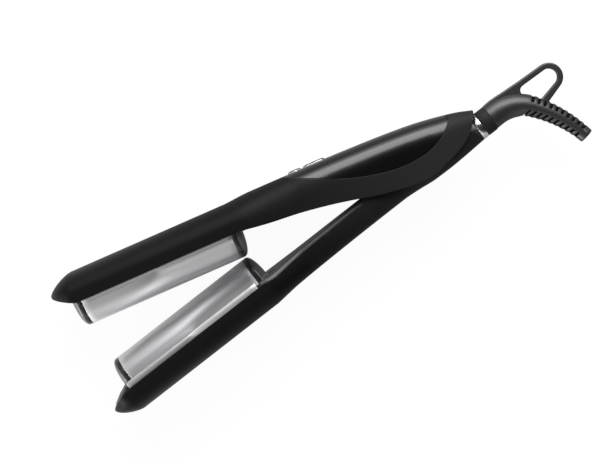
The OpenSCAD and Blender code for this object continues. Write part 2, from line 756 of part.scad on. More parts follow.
// Centre line of the strain relief: straight out, a tight bend, then a slack one.
// Returns [x, y, heading] at length s.
relief_x = ring_x + ring_w + collar_len;
first_len = bend_r * bend_a * PI / 180;
rib_len = rib_bend_r * rib_bend_a * PI / 180;
relief_straight = 3.5;
relief_len = relief_straight + first_len + rib_len;
function relief_at(s) =
    s < relief_straight ? [relief_x + s, 0, 0]
    : s < relief_straight + first_len
        ? let (a = (s - relief_straight) / bend_r * 180 / PI)
            [relief_x + relief_straight + bend_r * sin(a), -bend_r * (1 - cos(a)), a]
        : let (
            a = bend_a + (s - relief_straight - first_len) / rib_bend_r * 180 / PI,
            cx = relief_x + relief_straight + (bend_r - rib_bend_r) * sin(bend_a),
            cy = -bend_r + (bend_r - rib_bend_r) * cos(bend_a)
        ) [cx + rib_bend_r * sin(a), cy + rib_bend_r * cos(a), a];
function relief_r(s) = let (
    ribs_from = relief_straight + first_len, t = max(0, s - ribs_from) / rib_len
) blend(relief_d / 2, relief_end_d / 2, t);
module relief_body() {
    steps = [for (i = [0:22]) seat + (relief_len - seat) * i / 22];
    tube(
        [for (s = steps) let (p = relief_at(s)) [p[0], p[1], 0]],
        [for (i = [0:22]) relief_r(steps[i]) * (i == 22 ? 0.93 : 1)], 24
    );
}
// Slots cut from both sides of the bend, leaving a spine down the middle
slot_first = relief_straight + first_len - 2.6;
slot_pitch = (relief_len - 5.6 - slot_first) / (slot_count - 1);
// The sleeve round the cord, which shows as the floor of the slots
module relief_core() {
    from = slot_first - slot_pitch;
    to = relief_len - 2;
    steps = [for (i = [0:9]) from + (to - from) * i / 9];
    tube(
        [for (s = steps) let (p = relief_at(s)) [p[0], p[1], 0]],
        [for (s = steps) relief_r(s) * core_share], 24
    );
}
module relief_slots() {
    for (i = [0:slot_count - 1], side = [-1, 1]) {
        s = slot_first + i * slot_pitch;
        p = relief_at(s);
        spine = relief_r(s) * 0.36;
        translate([p[0], p[1], 0]) rotate([0, 0, -p[2]])
            translate([-slot_w / 2, side > 0 ? spine : -spine - relief_d, -relief_d])
                cube([slot_w, relief_d, 2 * relief_d]);
    }
}
// Hanging loop: a flat strap round an eye, joined to the relief by a web
loop_y = -2.5;
strap_rise = 3.4;    // slope of the upper strap
strap_fall = 17;     // slope of the lower strap
// Round end of the loop, from the upper strap round to the lower one
function loop_end(r) = [
    for (i = [0:16])
        let (a = 90 - strap_rise - (180 - strap_rise - strap_fall) * i / 16)
            [loop_x + r * cos(a), loop_y + r * sin(a)]
];
module loop_2d() {
    eye_r = loop_r - loop_strap;
    difference() {
        polygon(concat(
            loop_end(loop_r),
            [[88.6, loop_y - loop_r - 3.0], [85, -17], [80, -9], [66, 0],
                [relief_x + seat, 0], [relief_x + seat, neck_r - 0.3],
                [relief_x + 5, loop_y + loop_r + (loop_x - relief_x - 5) * tan(strap_rise)]]
        ));
        // the eye runs back between the straps to the relief
        polygon(concat(
            loop_end(eye_r),
            [[84, -11.4], [80.5, -3], [80.2, 2.2], [81, 3.8], [83, loop_y + eye_r + 15 * tan(strap_rise)]]
        ));
    }
}
module strain_relief() {
    end = relief_at(relief_len);
    color(matt_black) place() difference() {
        union() {
            difference() {
                relief_body();
                relief_slots();
            }
            relief_core();
            translate([0, 0, -loop_t / 2]) linear_extrude(loop_t) loop_2d();
        }
        translate([end[0], end[1], 0]) rotate([0, 0, -end[2]]) rotate([0, -90, 0]) rotate([0, 0, 17])
            translate([0, 0, -through]) cylinder(d = cord_d, h = cord_bore_len + through);
    }
}

// ---- Upper arm ----

upper_cover_stations = concat(
    [band_rear + seat], upper_taper_stations, [-94, -89, -84, -80, -60, -24]
);
skirt_low = -9;

// Section of the upper arm at x, from skirt to skirt over the top
function hood_path(x, w, top, n = round_n) =
    let (edge = upper_r(x), low = x <= band_rear ? edge : skirt_low, arc = half_round(w, n))
        concat(
            [[low, -w]],
            [for (i = [1:round_steps - 1]) [edge + (top - edge) * arc[i][1], -arc[i][0]]],
            [[low, w]]
        );
// Upper arm: the outside and the inside of one wall
function upper_in(x) = upper_w(x) - (x <= taper_upper[0] ? rim_wall : shell_wall);
module upper_form() {
    loft(
        upper_stations,
        [for (x = upper_stations) hood_path(x, upper_w(x), upper_b(x))],
        [for (x = upper_stations)
            hood_path(x, upper_in(x), upper_r(x) + hollow(x, upper_b(x) - upper_r(x)), hollow_n(x))]
    );
}
// A skin of the upper arm, between two depths below its outside
module hood_skin(outer, inner) {
    loft(
        hood_stations,
        [for (x = hood_stations) hood_path(x, upper_w(x) - outer, upper_b(x) - outer)],
        [for (x = hood_stations) hood_path(x, upper_w(x) - inner, upper_b(x) - inner)]
    );
}
module below_skirts() {
    translate([0, 0, -half_w]) linear_extrude(arm_w) polygon(concat(
        [[band_rear + 0.1, -40], [band_rear + 0.1, upper_rim - 0.05]], skirt,
        [[hood_end + 5, 24], [hood_end + 5, -40]]
    ));
}
module upper_shell() {
    ear_gap = 0.3;
    ear_end = upper_half - shell_wall / 2;
    color(matt_black) upper_pose() difference() {
        union() {
            difference() {
                intersection() {
                    upper_form();
                    side_flats();
                }
                below_skirts();
            }
            // ears inside the skirts carry the pin
            for (side = [-1, 1]) translate([0, 0, side > 0 ? hinge_half + ear_gap : -ear_end])
                cylinder(d = pin_d + 6, h = ear_end - hinge_half - ear_gap);
            bosses(upper_rim, -1, function (x) upper_b(x) - insert_t - 2 * fit);
            board_posts();
        }
        insert_recess();
        button_holes();
        rocker_bore(seat, pin_reach + seat);
        screw_holes(upper_rim, -1);
        translate([0, 0, -pin_half - seat]) cylinder(d = pin_d + seat, h = 2 * (pin_half + seat));
        board_post_holes();
    }
}
// The insert's place: a skin on the outer form, inside the insert's side outline
module insert_zone(clear) {
    translate([0, 0, -half_w]) linear_extrude(arm_w) offset(delta = clear)
        polygon(concat(insert_outline, [[26.6, 60], [-88, 60]]));
}
module insert_recess() {
    intersection() {
        insert_zone(0.1);
        hood_skin(-through, insert_t + seat);
    }
}
module gloss_insert() {
    color(gloss_black) upper_pose() difference() {
        intersection() {
            hood_skin(0.01, insert_t);
            insert_zone(0);
        }
        button_holes();
        rocker_bore(seat, pin_reach + seat);
    }
}

board_y = 23.5;
board_x = [-90, -34];
board_half = 12;
post_xs = [-86, -39];
module board_posts() {
    for (x = post_xs) translate([x, board_y + board_t, 0]) rotate([-90, 0, 0])
        cylinder(d = 5, h = upper_b(x) - insert_t - 2 * fit - board_y - board_t);
}
module board_post_holes() {
    for (x = post_xs) translate([x, board_y + board_t - through, 0]) rotate([-90, 0, 0])
        cylinder(d = 1.9, h = 4 + through);
}
module circuit_board() {
    color("darkgreen") upper_pose() difference() {
        translate([board_x[0], board_y, -board_half])
            cube([board_x[1] - board_x[0], board_t - seat, 2 * board_half]);
        for (x = post_xs) translate([x, board_y - through, 0]) rotate([-90, 0, 0])
            cylinder(d = 2.2, h = board_t + 2 * through);
        // a cover screw's boss passes through the board
        translate([-rear_screw_x, board_y - through, 0]) rotate([-90, 0, 0])
            cylinder(d = boss_d + 1, h = board_t + 2 * through);
    }
}
module board_screws() {
    color("silver") upper_pose() for (x = post_xs) translate([x, board_y, 0]) rotate([-90, 0, 0]) {
        translate([0, 0, -1.2]) cylinder(d = 4, h = 1.2 - seat);
        translate([0, 0, -0.6]) cylinder(d = 1.8, h = 5);
    }
}
switch_h = 2.4;
module tact_switches() {
    color("dimgray") upper_pose() for (x = [-power_x, -temp_x - 4, -temp_x + 4])
        translate([x - 1.6, board_y + board_t, -1.6]) cube([3.2, switch_h, 3.2]);
}
module indicator_lamps() {
    color("white") upper_pose() for (i = [-2:2]) translate([-45, board_y + board_t, 3.6 * i])
        rotate([-90, 0, 0]) cylinder(d = 1.8, h = 3.2);
}

// Buttons: the stem stands on its switch and the head rises through the shell
button_gap = 0.25;
stem_from = board_y + board_t + switch_h + 0.7;
module power_shape(grow) { circle(d = power_d + 2 * grow); }
module temp_shape(grow) {
    for (side = [-1, 1]) translate([side * (temp_len - temp_w) / 2, 0]) circle(d = temp_w + 2 * grow);
    square([temp_len - temp_w, temp_w + 2 * grow], center = true);
}
module button_holes() {
    translate([-power_x, board_y + 4, 0]) rotate([-90, 0, 0]) linear_extrude(20) power_shape(button_gap);
    translate([-temp_x, board_y + 4, 0]) rotate([-90, 0, 0]) linear_extrude(20) temp_shape(button_gap);
}
module power_button() {
    top = upper_b(-power_x) + button_h;
    color("dimgray") upper_pose() translate([-power_x, 0, 0]) rotate([-90, 0, 0]) {
        translate([0, 0, stem_from]) cylinder(d = 3, h = 3);
        translate([0, 0, top - 3.6]) linear_extrude(3.0) power_shape(0);
        translate([0, 0, top - 0.6]) cylinder(d1 = power_d, d2 = power_d - 1.4, h = 0.6);
    }
}
module temperature_button() {
    top = upper_b(-temp_x) + button_h;
    color("dimgray") upper_pose() difference() {
        translate([-temp_x, 0, 0]) rotate([-90, 0, 0]) {
            for (side = [-1, 1]) translate([side * 4, 0, stem_from]) cylinder(d = 3, h = 3);
            translate([0, 0, top - 3.6]) linear_extrude(3.0) temp_shape(0);
            translate([0, 0, top - 0.61]) linear_extrude(0.6) temp_shape(-0.6);
        }
        rocker_bore(seat, temp_w);
    }
}
// Pin that the temperature button rocks on, let into the shell and the insert
rocker_pin_d = 1;
rocker_y = upper_b(-temp_x) + button_h - 2.1;
pin_reach = temp_w / 2 + 1.4;
module rocker_bore(grow, reach) {
    translate([-temp_x, rocker_y, -reach]) cylinder(d = rocker_pin_d + 2 * grow, h = 2 * reach);
}
module rocker_pin() {
    color("silver") upper_pose() rocker_bore(0, pin_reach);
}

module on_upper() {
    upper_pose() translate([0, upper_rim, 0]) rotate([180, 0, 0]) children();
}
module upper_handle_cover() {
    color(satin_black) upper_pose() difference() {
        union() {
            lid(
                upper_cover_stations, function (x) upper_in(x) - 3 * fit,
                function (x) upper_in(x) - 2 * fit,
                function (x) upper_r(x), function (x) cover_crown, -1
            );
            translate([0, upper_rim, 0]) rotate([180, 0, 0]) pocket_block(1);
        }
        translate([0, upper_rim, 0]) rotate([180, 0, 0]) {
            pocket_cut(1);
            dome_foot(1);
            for (x = screw_xs) screw_recess(x);
        }
    }
}
module upper_nose_cover() {
    color(satin_black) upper_pose() difference() {
        union() {
            nose_cover(function (x) upper_in(x), function (x) upper_r(x), -1);
            translate([0, upper_rim, 0]) rotate([180, 0, 0]) pocket_block(-1);
        }
        translate([0, upper_rim, 0]) rotate([180, 0, 0]) {
            pocket_cut(-1);
            dome_foot(-1);
        }
    }
}
module upper_wave_plate() { color(alloy) on_upper() wave_plate_body(); }
module upper_front_cap() { color(gloss_black) on_upper() end_cap_body(-1); }
module upper_rear_cap() { color(gloss_black) on_upper() end_cap_body(1); }
module upper_heat_spreader() { color(alloy) on_upper() heat_spreader_body(); }
module upper_heater() { color("goldenrod") on_upper() heater_body(); }
module upper_heater_clamp() { color("lightsteelblue") on_upper() heater_clamp_body(); }
module thermal_fuse() {
    color("wheat") on_upper()
        translate([heater_x - 6, clamp_top - clamp_t - 1.5 - seat, -wave_offset]) rotate([0, 90, 0])
            cylinder(d = 3, h = 12);
}
module upper_leads() {
    color("firebrick") upper_pose() for (side = [-1, 1])
        lead([
            [-84, board_y - 1.1, side * 3 + 8], [-96, board_y - 1.1, side * 3 + 8],
            [-110, board_y - 4, side * 3 + 11],
            [plate_rear + 3, upper_rim + lead_drop, side * 3 + wave_offset],
            [plate_rear - 6, upper_rim + lead_drop, side * 3 + wave_offset],
            [heater_end[0], upper_rim - heater_end[1], side * 3 + wave_offset]
        ]);
}
module upper_screws() {
    color("silver") upper_pose() for (x = screw_xs)
        translate([x, upper_rim, 0]) rotate([180, 0, 0]) cover_screw();
}

lower_shell();
lower_handle_cover();
lower_nose_cover();
lower_wave_plate();
lower_front_cap();
lower_rear_cap();
lower_heat_spreader();
lower_heater();
lower_heater_clamp();
lower_leads();
lower_screws();
hinge_bushes();
opening_spring();
chrome_ring();
swivel_socket();
upper_shell();
gloss_insert();
upper_handle_cover();
upper_nose_cover();
upper_wave_plate();
upper_front_cap();
upper_rear_cap();
upper_heat_spreader();
upper_heater();
upper_heater_clamp();
upper_leads();
upper_screws();
thermal_fuse();
hinge_pin();
circuit_board();
tact_switches();
indicator_lamps();
board_screws();
power_button();
temperature_button();
rocker_pin();
swivel_collar();
swivel_clip();
strain_relief();
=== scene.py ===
import json
import math
import bmesh
import bpy
from mathutils import Matrix, Vector


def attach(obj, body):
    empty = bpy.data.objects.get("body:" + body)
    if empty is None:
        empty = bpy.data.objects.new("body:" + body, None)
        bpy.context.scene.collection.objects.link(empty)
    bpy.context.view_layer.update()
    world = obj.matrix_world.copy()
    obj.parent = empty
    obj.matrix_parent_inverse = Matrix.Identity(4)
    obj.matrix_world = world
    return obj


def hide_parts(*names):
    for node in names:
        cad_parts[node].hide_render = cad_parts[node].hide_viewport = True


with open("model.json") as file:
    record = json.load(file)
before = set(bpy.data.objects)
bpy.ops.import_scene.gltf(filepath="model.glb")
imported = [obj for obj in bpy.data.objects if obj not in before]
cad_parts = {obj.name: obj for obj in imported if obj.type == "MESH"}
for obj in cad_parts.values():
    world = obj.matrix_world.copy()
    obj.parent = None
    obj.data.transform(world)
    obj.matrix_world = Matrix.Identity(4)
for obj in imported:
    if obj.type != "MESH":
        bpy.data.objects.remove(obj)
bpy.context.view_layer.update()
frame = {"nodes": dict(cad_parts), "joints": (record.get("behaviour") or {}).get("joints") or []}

# ---- Camera ----
# The tool lies on its side on a pale table. The camera hangs far above it, turned so
# that the arms' tips point to the lower left and the cord end to the upper right.
hinge = next(j for j in frame["joints"] if j["name"] == "arm_hinge")
pin = Vector(hinge["pos_m"])
open_angle = math.radians(hinge["range_deg"][1])

lens_mm, sensor_mm = 106.4, 36
camera_from_pin = Vector((-0.0446, 0.0696, 1.1679))
image_right = Vector((0.788, -0.6157, 0)).normalized()
image_up = Vector((0.6146, 0.7866, -0.0593)).normalized()
camera = bpy.data.objects.new("camera", bpy.data.cameras.new("camera"))
camera.data.lens = lens_mm
camera.data.sensor_width = sensor_mm
camera.matrix_world = (
    Matrix.Translation(pin + camera_from_pin)
    @ Matrix((image_right, image_up, image_right.cross(image_up))).transposed().to_4x4()
)
bpy.context.scene.collection.objects.link(camera)
bpy.context.scene.camera = camera
bpy.context.scene.view_settings.view_transform = "Standard"

# ---- Studio ----
# A pale table under a tent of soft light, with two soft boxes beyond the handle's back,
# one on the side of the tips and one below. The table looks white and keeps the tool's shadow.
flat_up = Vector((image_up.x, image_up.y, 0)).normalized()
middle = Vector((-0.03, 0, 0.03))


def lit_from(name, away, size, power):
    """A soft box at a distance from the middle of the tool, turned towards it."""
    lamp = bpy.data.lights.new(name, "AREA")
    lamp.shape = "RECTANGLE"
    lamp.size, lamp.size_y = size
    lamp.energy = power
    box = bpy.data.objects.new(name, lamp)
    box.location = middle + away
    box.rotation_euler = (middle - box.location).to_track_quat("-Z", "Y").to_euler()
    bpy.context.scene.collection.objects.link(box)


lit_from("softbox_back", 0.95 * flat_up + Vector((0, 0, 0.75)), (1.3, 0.85), 26)
lit_from("softbox_low", 1.15 * flat_up + Vector((0, 0, 0.24)), (1.3, 0.5), 4.5)
lit_from("softbox_tips", Vector((-1.0, -0.15, 0.22)), (0.8, 0.4), 12)
lit_from("softbox_below", -flat_up + Vector((0, 0, 0.5)), (1.2, 0.9), 1.3)


def shader_step(tree, kind, feeds, **settings):
    """A shader node, set up, with its inputs fed by values or by other nodes' outputs.

    An input goes by its name, or by its number where a node has several of that name.
    """
    step = tree.nodes.new("ShaderNode" + kind)
    for name, value in settings.items():
        setattr(step, name, value)
    for socket, feed in feeds.items():
        if isinstance(feed, bpy.types.NodeSocket):
            tree.links.new(feed, step.inputs[socket])
        else:
            step.inputs[socket].default_value = feed
    return step


def seen_as_white(tree):
    """The light path, and 1 for the rays that see the background mirrored or clear."""
    path = shader_step(tree, "LightPath", {})
    any_of = shader_step(
        tree, "Math", {0: path.outputs["Is Glossy Ray"], 1: path.outputs["Is Transmission Ray"]},
        operation="MAXIMUM",
    )
    return path, any_of.outputs[0]


table_paint = bpy.data.materials.new("table_paint")
table_paint.use_nodes = True
tree = table_paint.node_tree
tree.nodes.clear()
path, background = seen_as_white(tree)
# mirrored in the tool, the table is white beyond the tips and greyer along the arms
spot = shader_step(tree, "NewGeometry", {})
split = shader_step(tree, "SeparateXYZ", {0: spot.outputs["Position"]})
along = shader_step(tree, "MapRange", {
    "Value": split.outputs["X"], "From Min": pin.x - 0.25, "From Max": pin.x - 0.1,
    "To Min": 1, "To Max": 0.2,
}, interpolation_type="SMOOTHSTEP")
strength = shader_step(tree, "Mix", {
    "Factor": path.outputs["Is Camera Ray"], "A": along.outputs["Result"], "B": 1,
})
glow = shader_step(tree, "Emission", {"Strength": strength.outputs["Result"]})
# the camera sees the glow nearly alone, a mirroring surface mostly, and light the paint
mirrored = shader_step(tree, "Math", {0: background, 1: 0.8}, operation="MULTIPLY")
share = shader_step(
    tree, "Math", {0: path.outputs["Is Camera Ray"], 1: 0.95, 2: mirrored.outputs[0]},
    operation="MULTIPLY_ADD",
)
paint = shader_step(tree, "BsdfDiffuse", {"Color": (0.9, 0.9, 0.9, 1)})
both = shader_step(tree, "MixShader", {0: share.outputs[0], 1: paint.outputs[0], 2: glow.outputs[0]})
shader_step(tree, "OutputMaterial", {"Surface": both.outputs[0]})

table_reach, table_drop = 6, 0.0004
table_mesh = bpy.data.meshes.new("table")
table_mesh.from_pydata(
    [(x * table_reach, y * table_reach, 0) for x, y in ((-1, -1), (1, -1), (1, 1), (-1, 1))],
    [], [(0, 1, 2, 3)],
)
table_mesh.materials.append(table_paint)
table = bpy.data.objects.new("table", table_mesh)
table.location.z = -table_drop
bpy.context.scene.collection.objects.link(table)

world = bpy.data.worlds.new("tent")
bpy.context.scene.world = world
world.use_nodes = True
tree = world.node_tree
tree.nodes.clear()
path, background = seen_as_white(tree)
# the tent's roof is greyer than its walls, and least so towards the tips
where = shader_step(tree, "TexCoord", {})
high = shader_step(
    tree, "VectorMath", {0: where.outputs["Generated"], 1: (1.5, 0, 1)}, operation="DOT_PRODUCT",
)
roof = shader_step(tree, "MapRange", {
    "Value": high.outputs["Value"], "From Min": 0.1, "From Max": 0.8, "To Min": 0.85, "To Max": 0.02,
}, interpolation_type="SMOOTHSTEP")
wall = shader_step(tree, "Mix", {
    "Factor": path.outputs["Is Camera Ray"], "A": roof.outputs["Result"], "B": 1,
})
seen = shader_step(
    tree, "Math", {0: background, 1: path.outputs["Is Camera Ray"]}, operation="MAXIMUM",
)
level = shader_step(tree, "Mix", {
    "Factor": seen.outputs[0], "A": 0.45, "B": wall.outputs["Result"],
})
sky = shader_step(tree, "Background", {"Strength": level.outputs["Result"]})
shader_step(tree, "OutputWorld", {"Surface": sky.outputs[0]})

# ---- Lower shell ----
# One thin-walled moulding in soft-touch black plastic, from the pointed nose to the
# round neck. It is open on the side that faces the other arm, where covers close it.
arm_half = 30.5      # half the width at the plates, trimmed flat at side_flat
side_flat = 30.0
arm_depth = 18.8
oval = 3             # squareness of the arms' sections, 2 for a true oval
rim_wall, shell_wall = 1.5, 2.0
lower_rim = 8.7
nose_len, nose_drop = 17.4, 8.6
rim_power, face_power = 1.1, 1.35      # how soon the nose's rim and face fall away
plate_front, plate_rear = -235.0, -131.0
band = 3.0
nose_from, bay_to = plate_front - band, plate_rear + band
tip = nose_from - nose_len
narrow_from, narrow_to, handle_from = -126, -94, -60
lower_handle_half = 18
neck_x, neck_r = 42.0, 8.65


def smooth_curve(points):
    """A smooth line through [x, value] points that stays between them."""
    xs, ys = zip(*points)
    rises = [(ys[i + 1] - ys[i]) / (xs[i + 1] - xs[i]) for i in range(len(xs) - 1)]
    slopes = [rises[0]]
    slopes += [0 if a * b <= 0 else 2 * a * b / (a + b) for a, b in zip(rises, rises[1:])]
    slopes.append(rises[-1])

    def value(x):
        if x <= xs[0] or x >= xs[-1]:
            return ys[0] if x <= xs[0] else ys[-1]
        i = next(k for k in range(len(xs) - 1) if x <= xs[k + 1])
        run = xs[i + 1] - xs[i]
        t = (x - xs[i]) / run
        return (
            (1 + 2 * t) * (1 - t) ** 2 * ys[i] + t * (1 - t) ** 2 * run * slopes[i]
            + t * t * (3 - 2 * t) * ys[i + 1] + t * t * (t - 1) * run * slopes[i + 1]
        )

    return value


def eased(x, start, end):
    """0 before the start, 1 behind the end, and a smooth rise between."""
    t = min(1, max(0, (x - start) / (end - start)))
    return t * t * (3 - 2 * t)


def nose(x, power):
    """Share of the full size in the nose: 1 at the plates, nearly 0 at the tip."""
    u = 0.997 * min(1, max(0, (nose_from - x) / nose_len))
    return (1 - u ** power) ** (1 / power)


lower_outer_face = smooth_curve([
    [bay_to, lower_rim - arm_depth], [-109, -8.6], [-34, -7.5], [-22, -7.5], [-10, -8.4],
    [1, -9.6], [13, -9.8], [26, -9.5], [neck_x, -neck_r],
])
lower_edge = smooth_curve([[-5, lower_rim], [12, 8.1], [28, 3.6], [neck_x, 0]])
lower_narrow = smooth_curve([
    [handle_from, lower_handle_half], [-45, lower_handle_half], [-20, 16.1], [0, 15.5],
    [14, 14.2], [28, 11.4], [neck_x, neck_r],
])


def lower_half_width(x):
    if x < handle_from:
        wide = arm_half + (lower_handle_half - arm_half) * eased(x, narrow_from, narrow_to)
    else:
        wide = lower_narrow(x)
    return wide * nose(x, 2)


def lower_rim_at(x):
    if x < nose_from:
        return lower_rim - nose_drop * (1 - nose(x, rim_power))
    return lower_edge(x)


def lower_face_at(x):
    if x < nose_from:
        return lower_rim - nose_drop - (arm_depth - nose_drop) * nose(x, face_power)
    return lower_outer_face(x)


def rim_thickness(x, half_width):
    """The side wall at the rim: thin beside the plates, thicker along the handle."""
    return rim_wall if x <= narrow_from else min(shell_wall, 0.14 * half_width + 0.3)


# how far the moulding's edge lies below the rim, where the covers and the lips stand up
lower_step = smooth_curve([
    [tip, 0.2], [nose_from - 6, 1.0], [nose_from, 1.6], [-128, 1.7], [-119, 3.2], [-100, 2.4],
    [-60, 1.2], [-30, 0.3], [-14, 0],
])


def even(line, count):
    """The same line, as count + 1 points that lie evenly along it."""
    at = [0.0]
    for a, b in zip(line, line[1:]):
        at.append(at[-1] + math.dist(a, b))
    points, k = [], 0
    for i in range(count + 1):
        s = at[-1] * i / count
        while k < len(at) - 2 and at[k + 1] < s:
            k += 1
        t = 0 if at[k + 1] == at[k] else (s - at[k]) / (at[k + 1] - at[k])
        points.append(tuple(a + (b - a) * t for a, b in zip(line[k], line[k + 1])))
    return points


def arch(half_width, rise, square, count=72):
    """Half a squared oval, from +Z over to -Z, as (rise, z) points."""
    line = []
    for i in range(241):
        a = math.pi * i / 240
        c, s = math.cos(a), max(0, math.sin(a))
        line.append((
            rise * s ** (2 / square), half_width * math.copysign(abs(c) ** (2 / square), c)
        ))
    return even(line, count)


def stations(*spans):
    """Places along the arm: (from, to, step) spans, one after another."""
    places = []
    for start, end, step in spans:
        count = max(1, round((end - start) / step))
        places += [start + (end - start) * i / count for i in range(count)]
    return places + [spans[-1][1]]


def ring_at(x, outline):
    """An outline of (y, z) points as a ring at x."""
    return [(x, y, z) for y, z in outline]


def skinned(name, rings, place, closed=True):
    """A mesh over rings of points with the same count, with flat ends, put in place."""
    mesh = bpy.data.meshes.new(name)
    work = bmesh.new()
    grid = [[work.verts.new(place @ Vector(p)) for p in ring] for ring in rings]
    n = len(rings[0])
    for a, b in zip(grid, grid[1:]):
        for i in range(n if closed else n - 1):
            j = (i + 1) % n
            work.faces.new((a[i], a[j], b[j], b[i]))
    if closed:
        work.faces.new(grid[0][::-1])
        work.faces.new(grid[-1])
    bmesh.ops.remove_doubles(work, verts=work.verts, dist=2e-6)
    bmesh.ops.dissolve_degenerate(work, edges=work.edges, dist=1e-6)
    bmesh.ops.recalc_face_normals(work, faces=work.faces)
    work.to_mesh(mesh)
    work.free()
    piece = bpy.data.objects.new(name, mesh)
    bpy.context.scene.collection.objects.link(piece)
    return piece


def baked_down(piece):
    """Makes the modifiers' result the piece's own mesh."""
    shaped = piece.evaluated_get(bpy.context.evaluated_depsgraph_get())
    mesh = bpy.data.meshes.new_from_object(shaped)
    piece.modifiers.clear()
    piece.data = mesh


def eased_edges(piece, width, sharp=38, steps=3):
    """Rounds the moulded edges and shades the rest smooth."""
    if width:
        edge = piece.modifiers.new("edge", "BEVEL")
        edge.width = width / 1000
        edge.segments = steps
        edge.limit_method = "ANGLE"
        edge.angle_limit = math.radians(sharp)
        edge.harden_normals = False
        baked_down(piece)
    piece.data.shade_smooth()
    piece.data.set_sharp_from_angle(angle=math.radians(sharp))


def fitted(piece, body, slot, finish, *nodes):
    """Gives a finished piece its material and its place in the tool."""
    piece.data.materials.clear()
    piece.data.materials.append(finish)
    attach(piece, body)
    if nodes:
        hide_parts(*nodes)


def effect(name, inputs):
    """A shader node group with named inputs and three outputs, and what its inputs give."""
    group = bpy.data.node_groups.new(name, "ShaderNodeTree")
    for label, kind, value in inputs:
        socket = group.interface.new_socket(label, in_out="INPUT", socket_type="NodeSocket" + kind)
        socket.default_value = value
    for label, kind in (("Color", "Color"), ("Roughness", "Float"), ("Height", "Float")):
        group.interface.new_socket(label, in_out="OUTPUT", socket_type="NodeSocket" + kind)
    return group, group.nodes.new("NodeGroupInput").outputs


def put_out(group, color, roughness, height):
    """Ends an effect with what its three outputs give."""
    made = group.nodes.new("NodeGroupOutput")
    for label, feed in (("Color", color), ("Roughness", roughness), ("Height", height)):
        group.links.new(feed, made.inputs[label])


# Moulded plastic: a fine sparked grain, hands' faint shine, edges lighter in patches, partly
# rubbed and partly a painted highlight, and painted light that lightens the colour along the
# grip. A finish that gives no place for the painted light gets it far off the tool.
moulded, given = effect("moulded_plastic", [
    ("Place", "Vector", (0, 0, 0)),
    ("Grain per metre", "Float", 2600.0),
    ("Plastic", "Color", (0.015, 0.015, 0.016, 1)),
    ("Edge wear and highlight", "Color", (0.03, 0.03, 0.032, 1)),
    ("Painted light", "Color", (0.015, 0.015, 0.016, 1)),
    ("Painted light from", "Float", 9.0),
    ("Painted light to", "Float", 10.0),
    ("Roughness", "Float", 0.5),
    ("Spread", "Float", 0.1),
])
grain = shader_step(moulded, "TexNoise", {
    "Vector": given["Place"], "Scale": given["Grain per metre"], "Detail": 3,
})
hands = shader_step(moulded, "TexNoise", {"Vector": given["Place"], "Scale": 22, "Detail": 4})
# convex edges turn lighter in patches: partly rubbed wear, partly a painted highlight where edges
# catch the light
bend = shader_step(moulded, "NewGeometry", {})
edge_wear_and_highlight = shader_step(moulded, "MapRange", {
    "Value": bend.outputs["Pointiness"], "From Min": 0.54, "From Max": 0.64,
})
patchy_wear_and_highlight = shader_step(
    moulded, "Math", {0: edge_wear_and_highlight.outputs[0], 1: hands.outputs["Fac"]}, operation="MULTIPLY",
)
# painted light: the colour turns lighter past a place along X, standing in for light that falls there
along = shader_step(moulded, "SeparateXYZ", {"Vector": given["Place"]})
painted_light_ramp = shader_step(moulded, "MapRange", {
    "Value": along.outputs["X"], "From Min": given["Painted light from"], "From Max": given["Painted light to"],
}, interpolation_type="SMOOTHSTEP")
base = shader_step(
    moulded, "Mix", {"Factor": painted_light_ramp.outputs[0], 6: given["Plastic"], 7: given["Painted light"]},
    data_type="RGBA",
)
tint = shader_step(
    moulded, "Mix", {"Factor": patchy_wear_and_highlight.outputs[0], 6: base.outputs[2], 7: given["Edge wear and highlight"]},
    data_type="RGBA",
)
centred = shader_step(moulded, "Math", {0: hands.outputs["Fac"], 1: 0.5}, operation="SUBTRACT")
uneven = shader_step(
    moulded, "Math", {0: centred.outputs[0], 1: given["Spread"], 2: given["Roughness"]},
    operation="MULTIPLY_ADD",
)
put_out(moulded, tint.outputs[2], uneven.outputs[0], grain.outputs["Fac"])


def finish_of(name, group, values, bump, **sockets):
    """A material: one shader with its plain values, dressed by an effect."""
    material = bpy.data.materials.new(name)
    material.use_nodes = True
    tree = material.node_tree
    shader = tree.nodes["Principled BSDF"]
    for label, value in sockets.items():
        shader.inputs[label.replace("_", " ")].default_value = value
    place = shader_step(tree, "TexCoord", {})
    dress = shader_step(
        tree, "Group", {"Place": place.outputs["Object"], **values}, node_tree=group,
    )
    tree.links.new(dress.outputs["Color"], shader.inputs["Base Color"])
    tree.links.new(dress.outputs["Roughness"], shader.inputs["Roughness"])
    if bump:
        strength, distance = bump
        relief = shader_step(tree, "Bump", {
            "Strength": strength, "Distance": distance, "Height": dress.outputs["Height"],
        })
        tree.links.new(relief.outputs["Normal"], shader.inputs["Normal"])
    return material


# painted light: the soft-touch black is painted lighter over the handle and hinge than over the
# plates
soft_touch = finish_of(
    "soft_touch_black", moulded,
    {"Plastic": (0.0035, 0.0035, 0.0037, 1), "Edge wear and highlight": (0.03, 0.03, 0.032, 1),
     "Painted light": (0.013, 0.013, 0.0135, 1), "Painted light from": pin.x - 0.12, "Painted light to": pin.x + 0.04,
     "Roughness": 0.52},
    (0.12, 0.0002), Specular_IOR_Level=0.1, IOR=1.45,
)

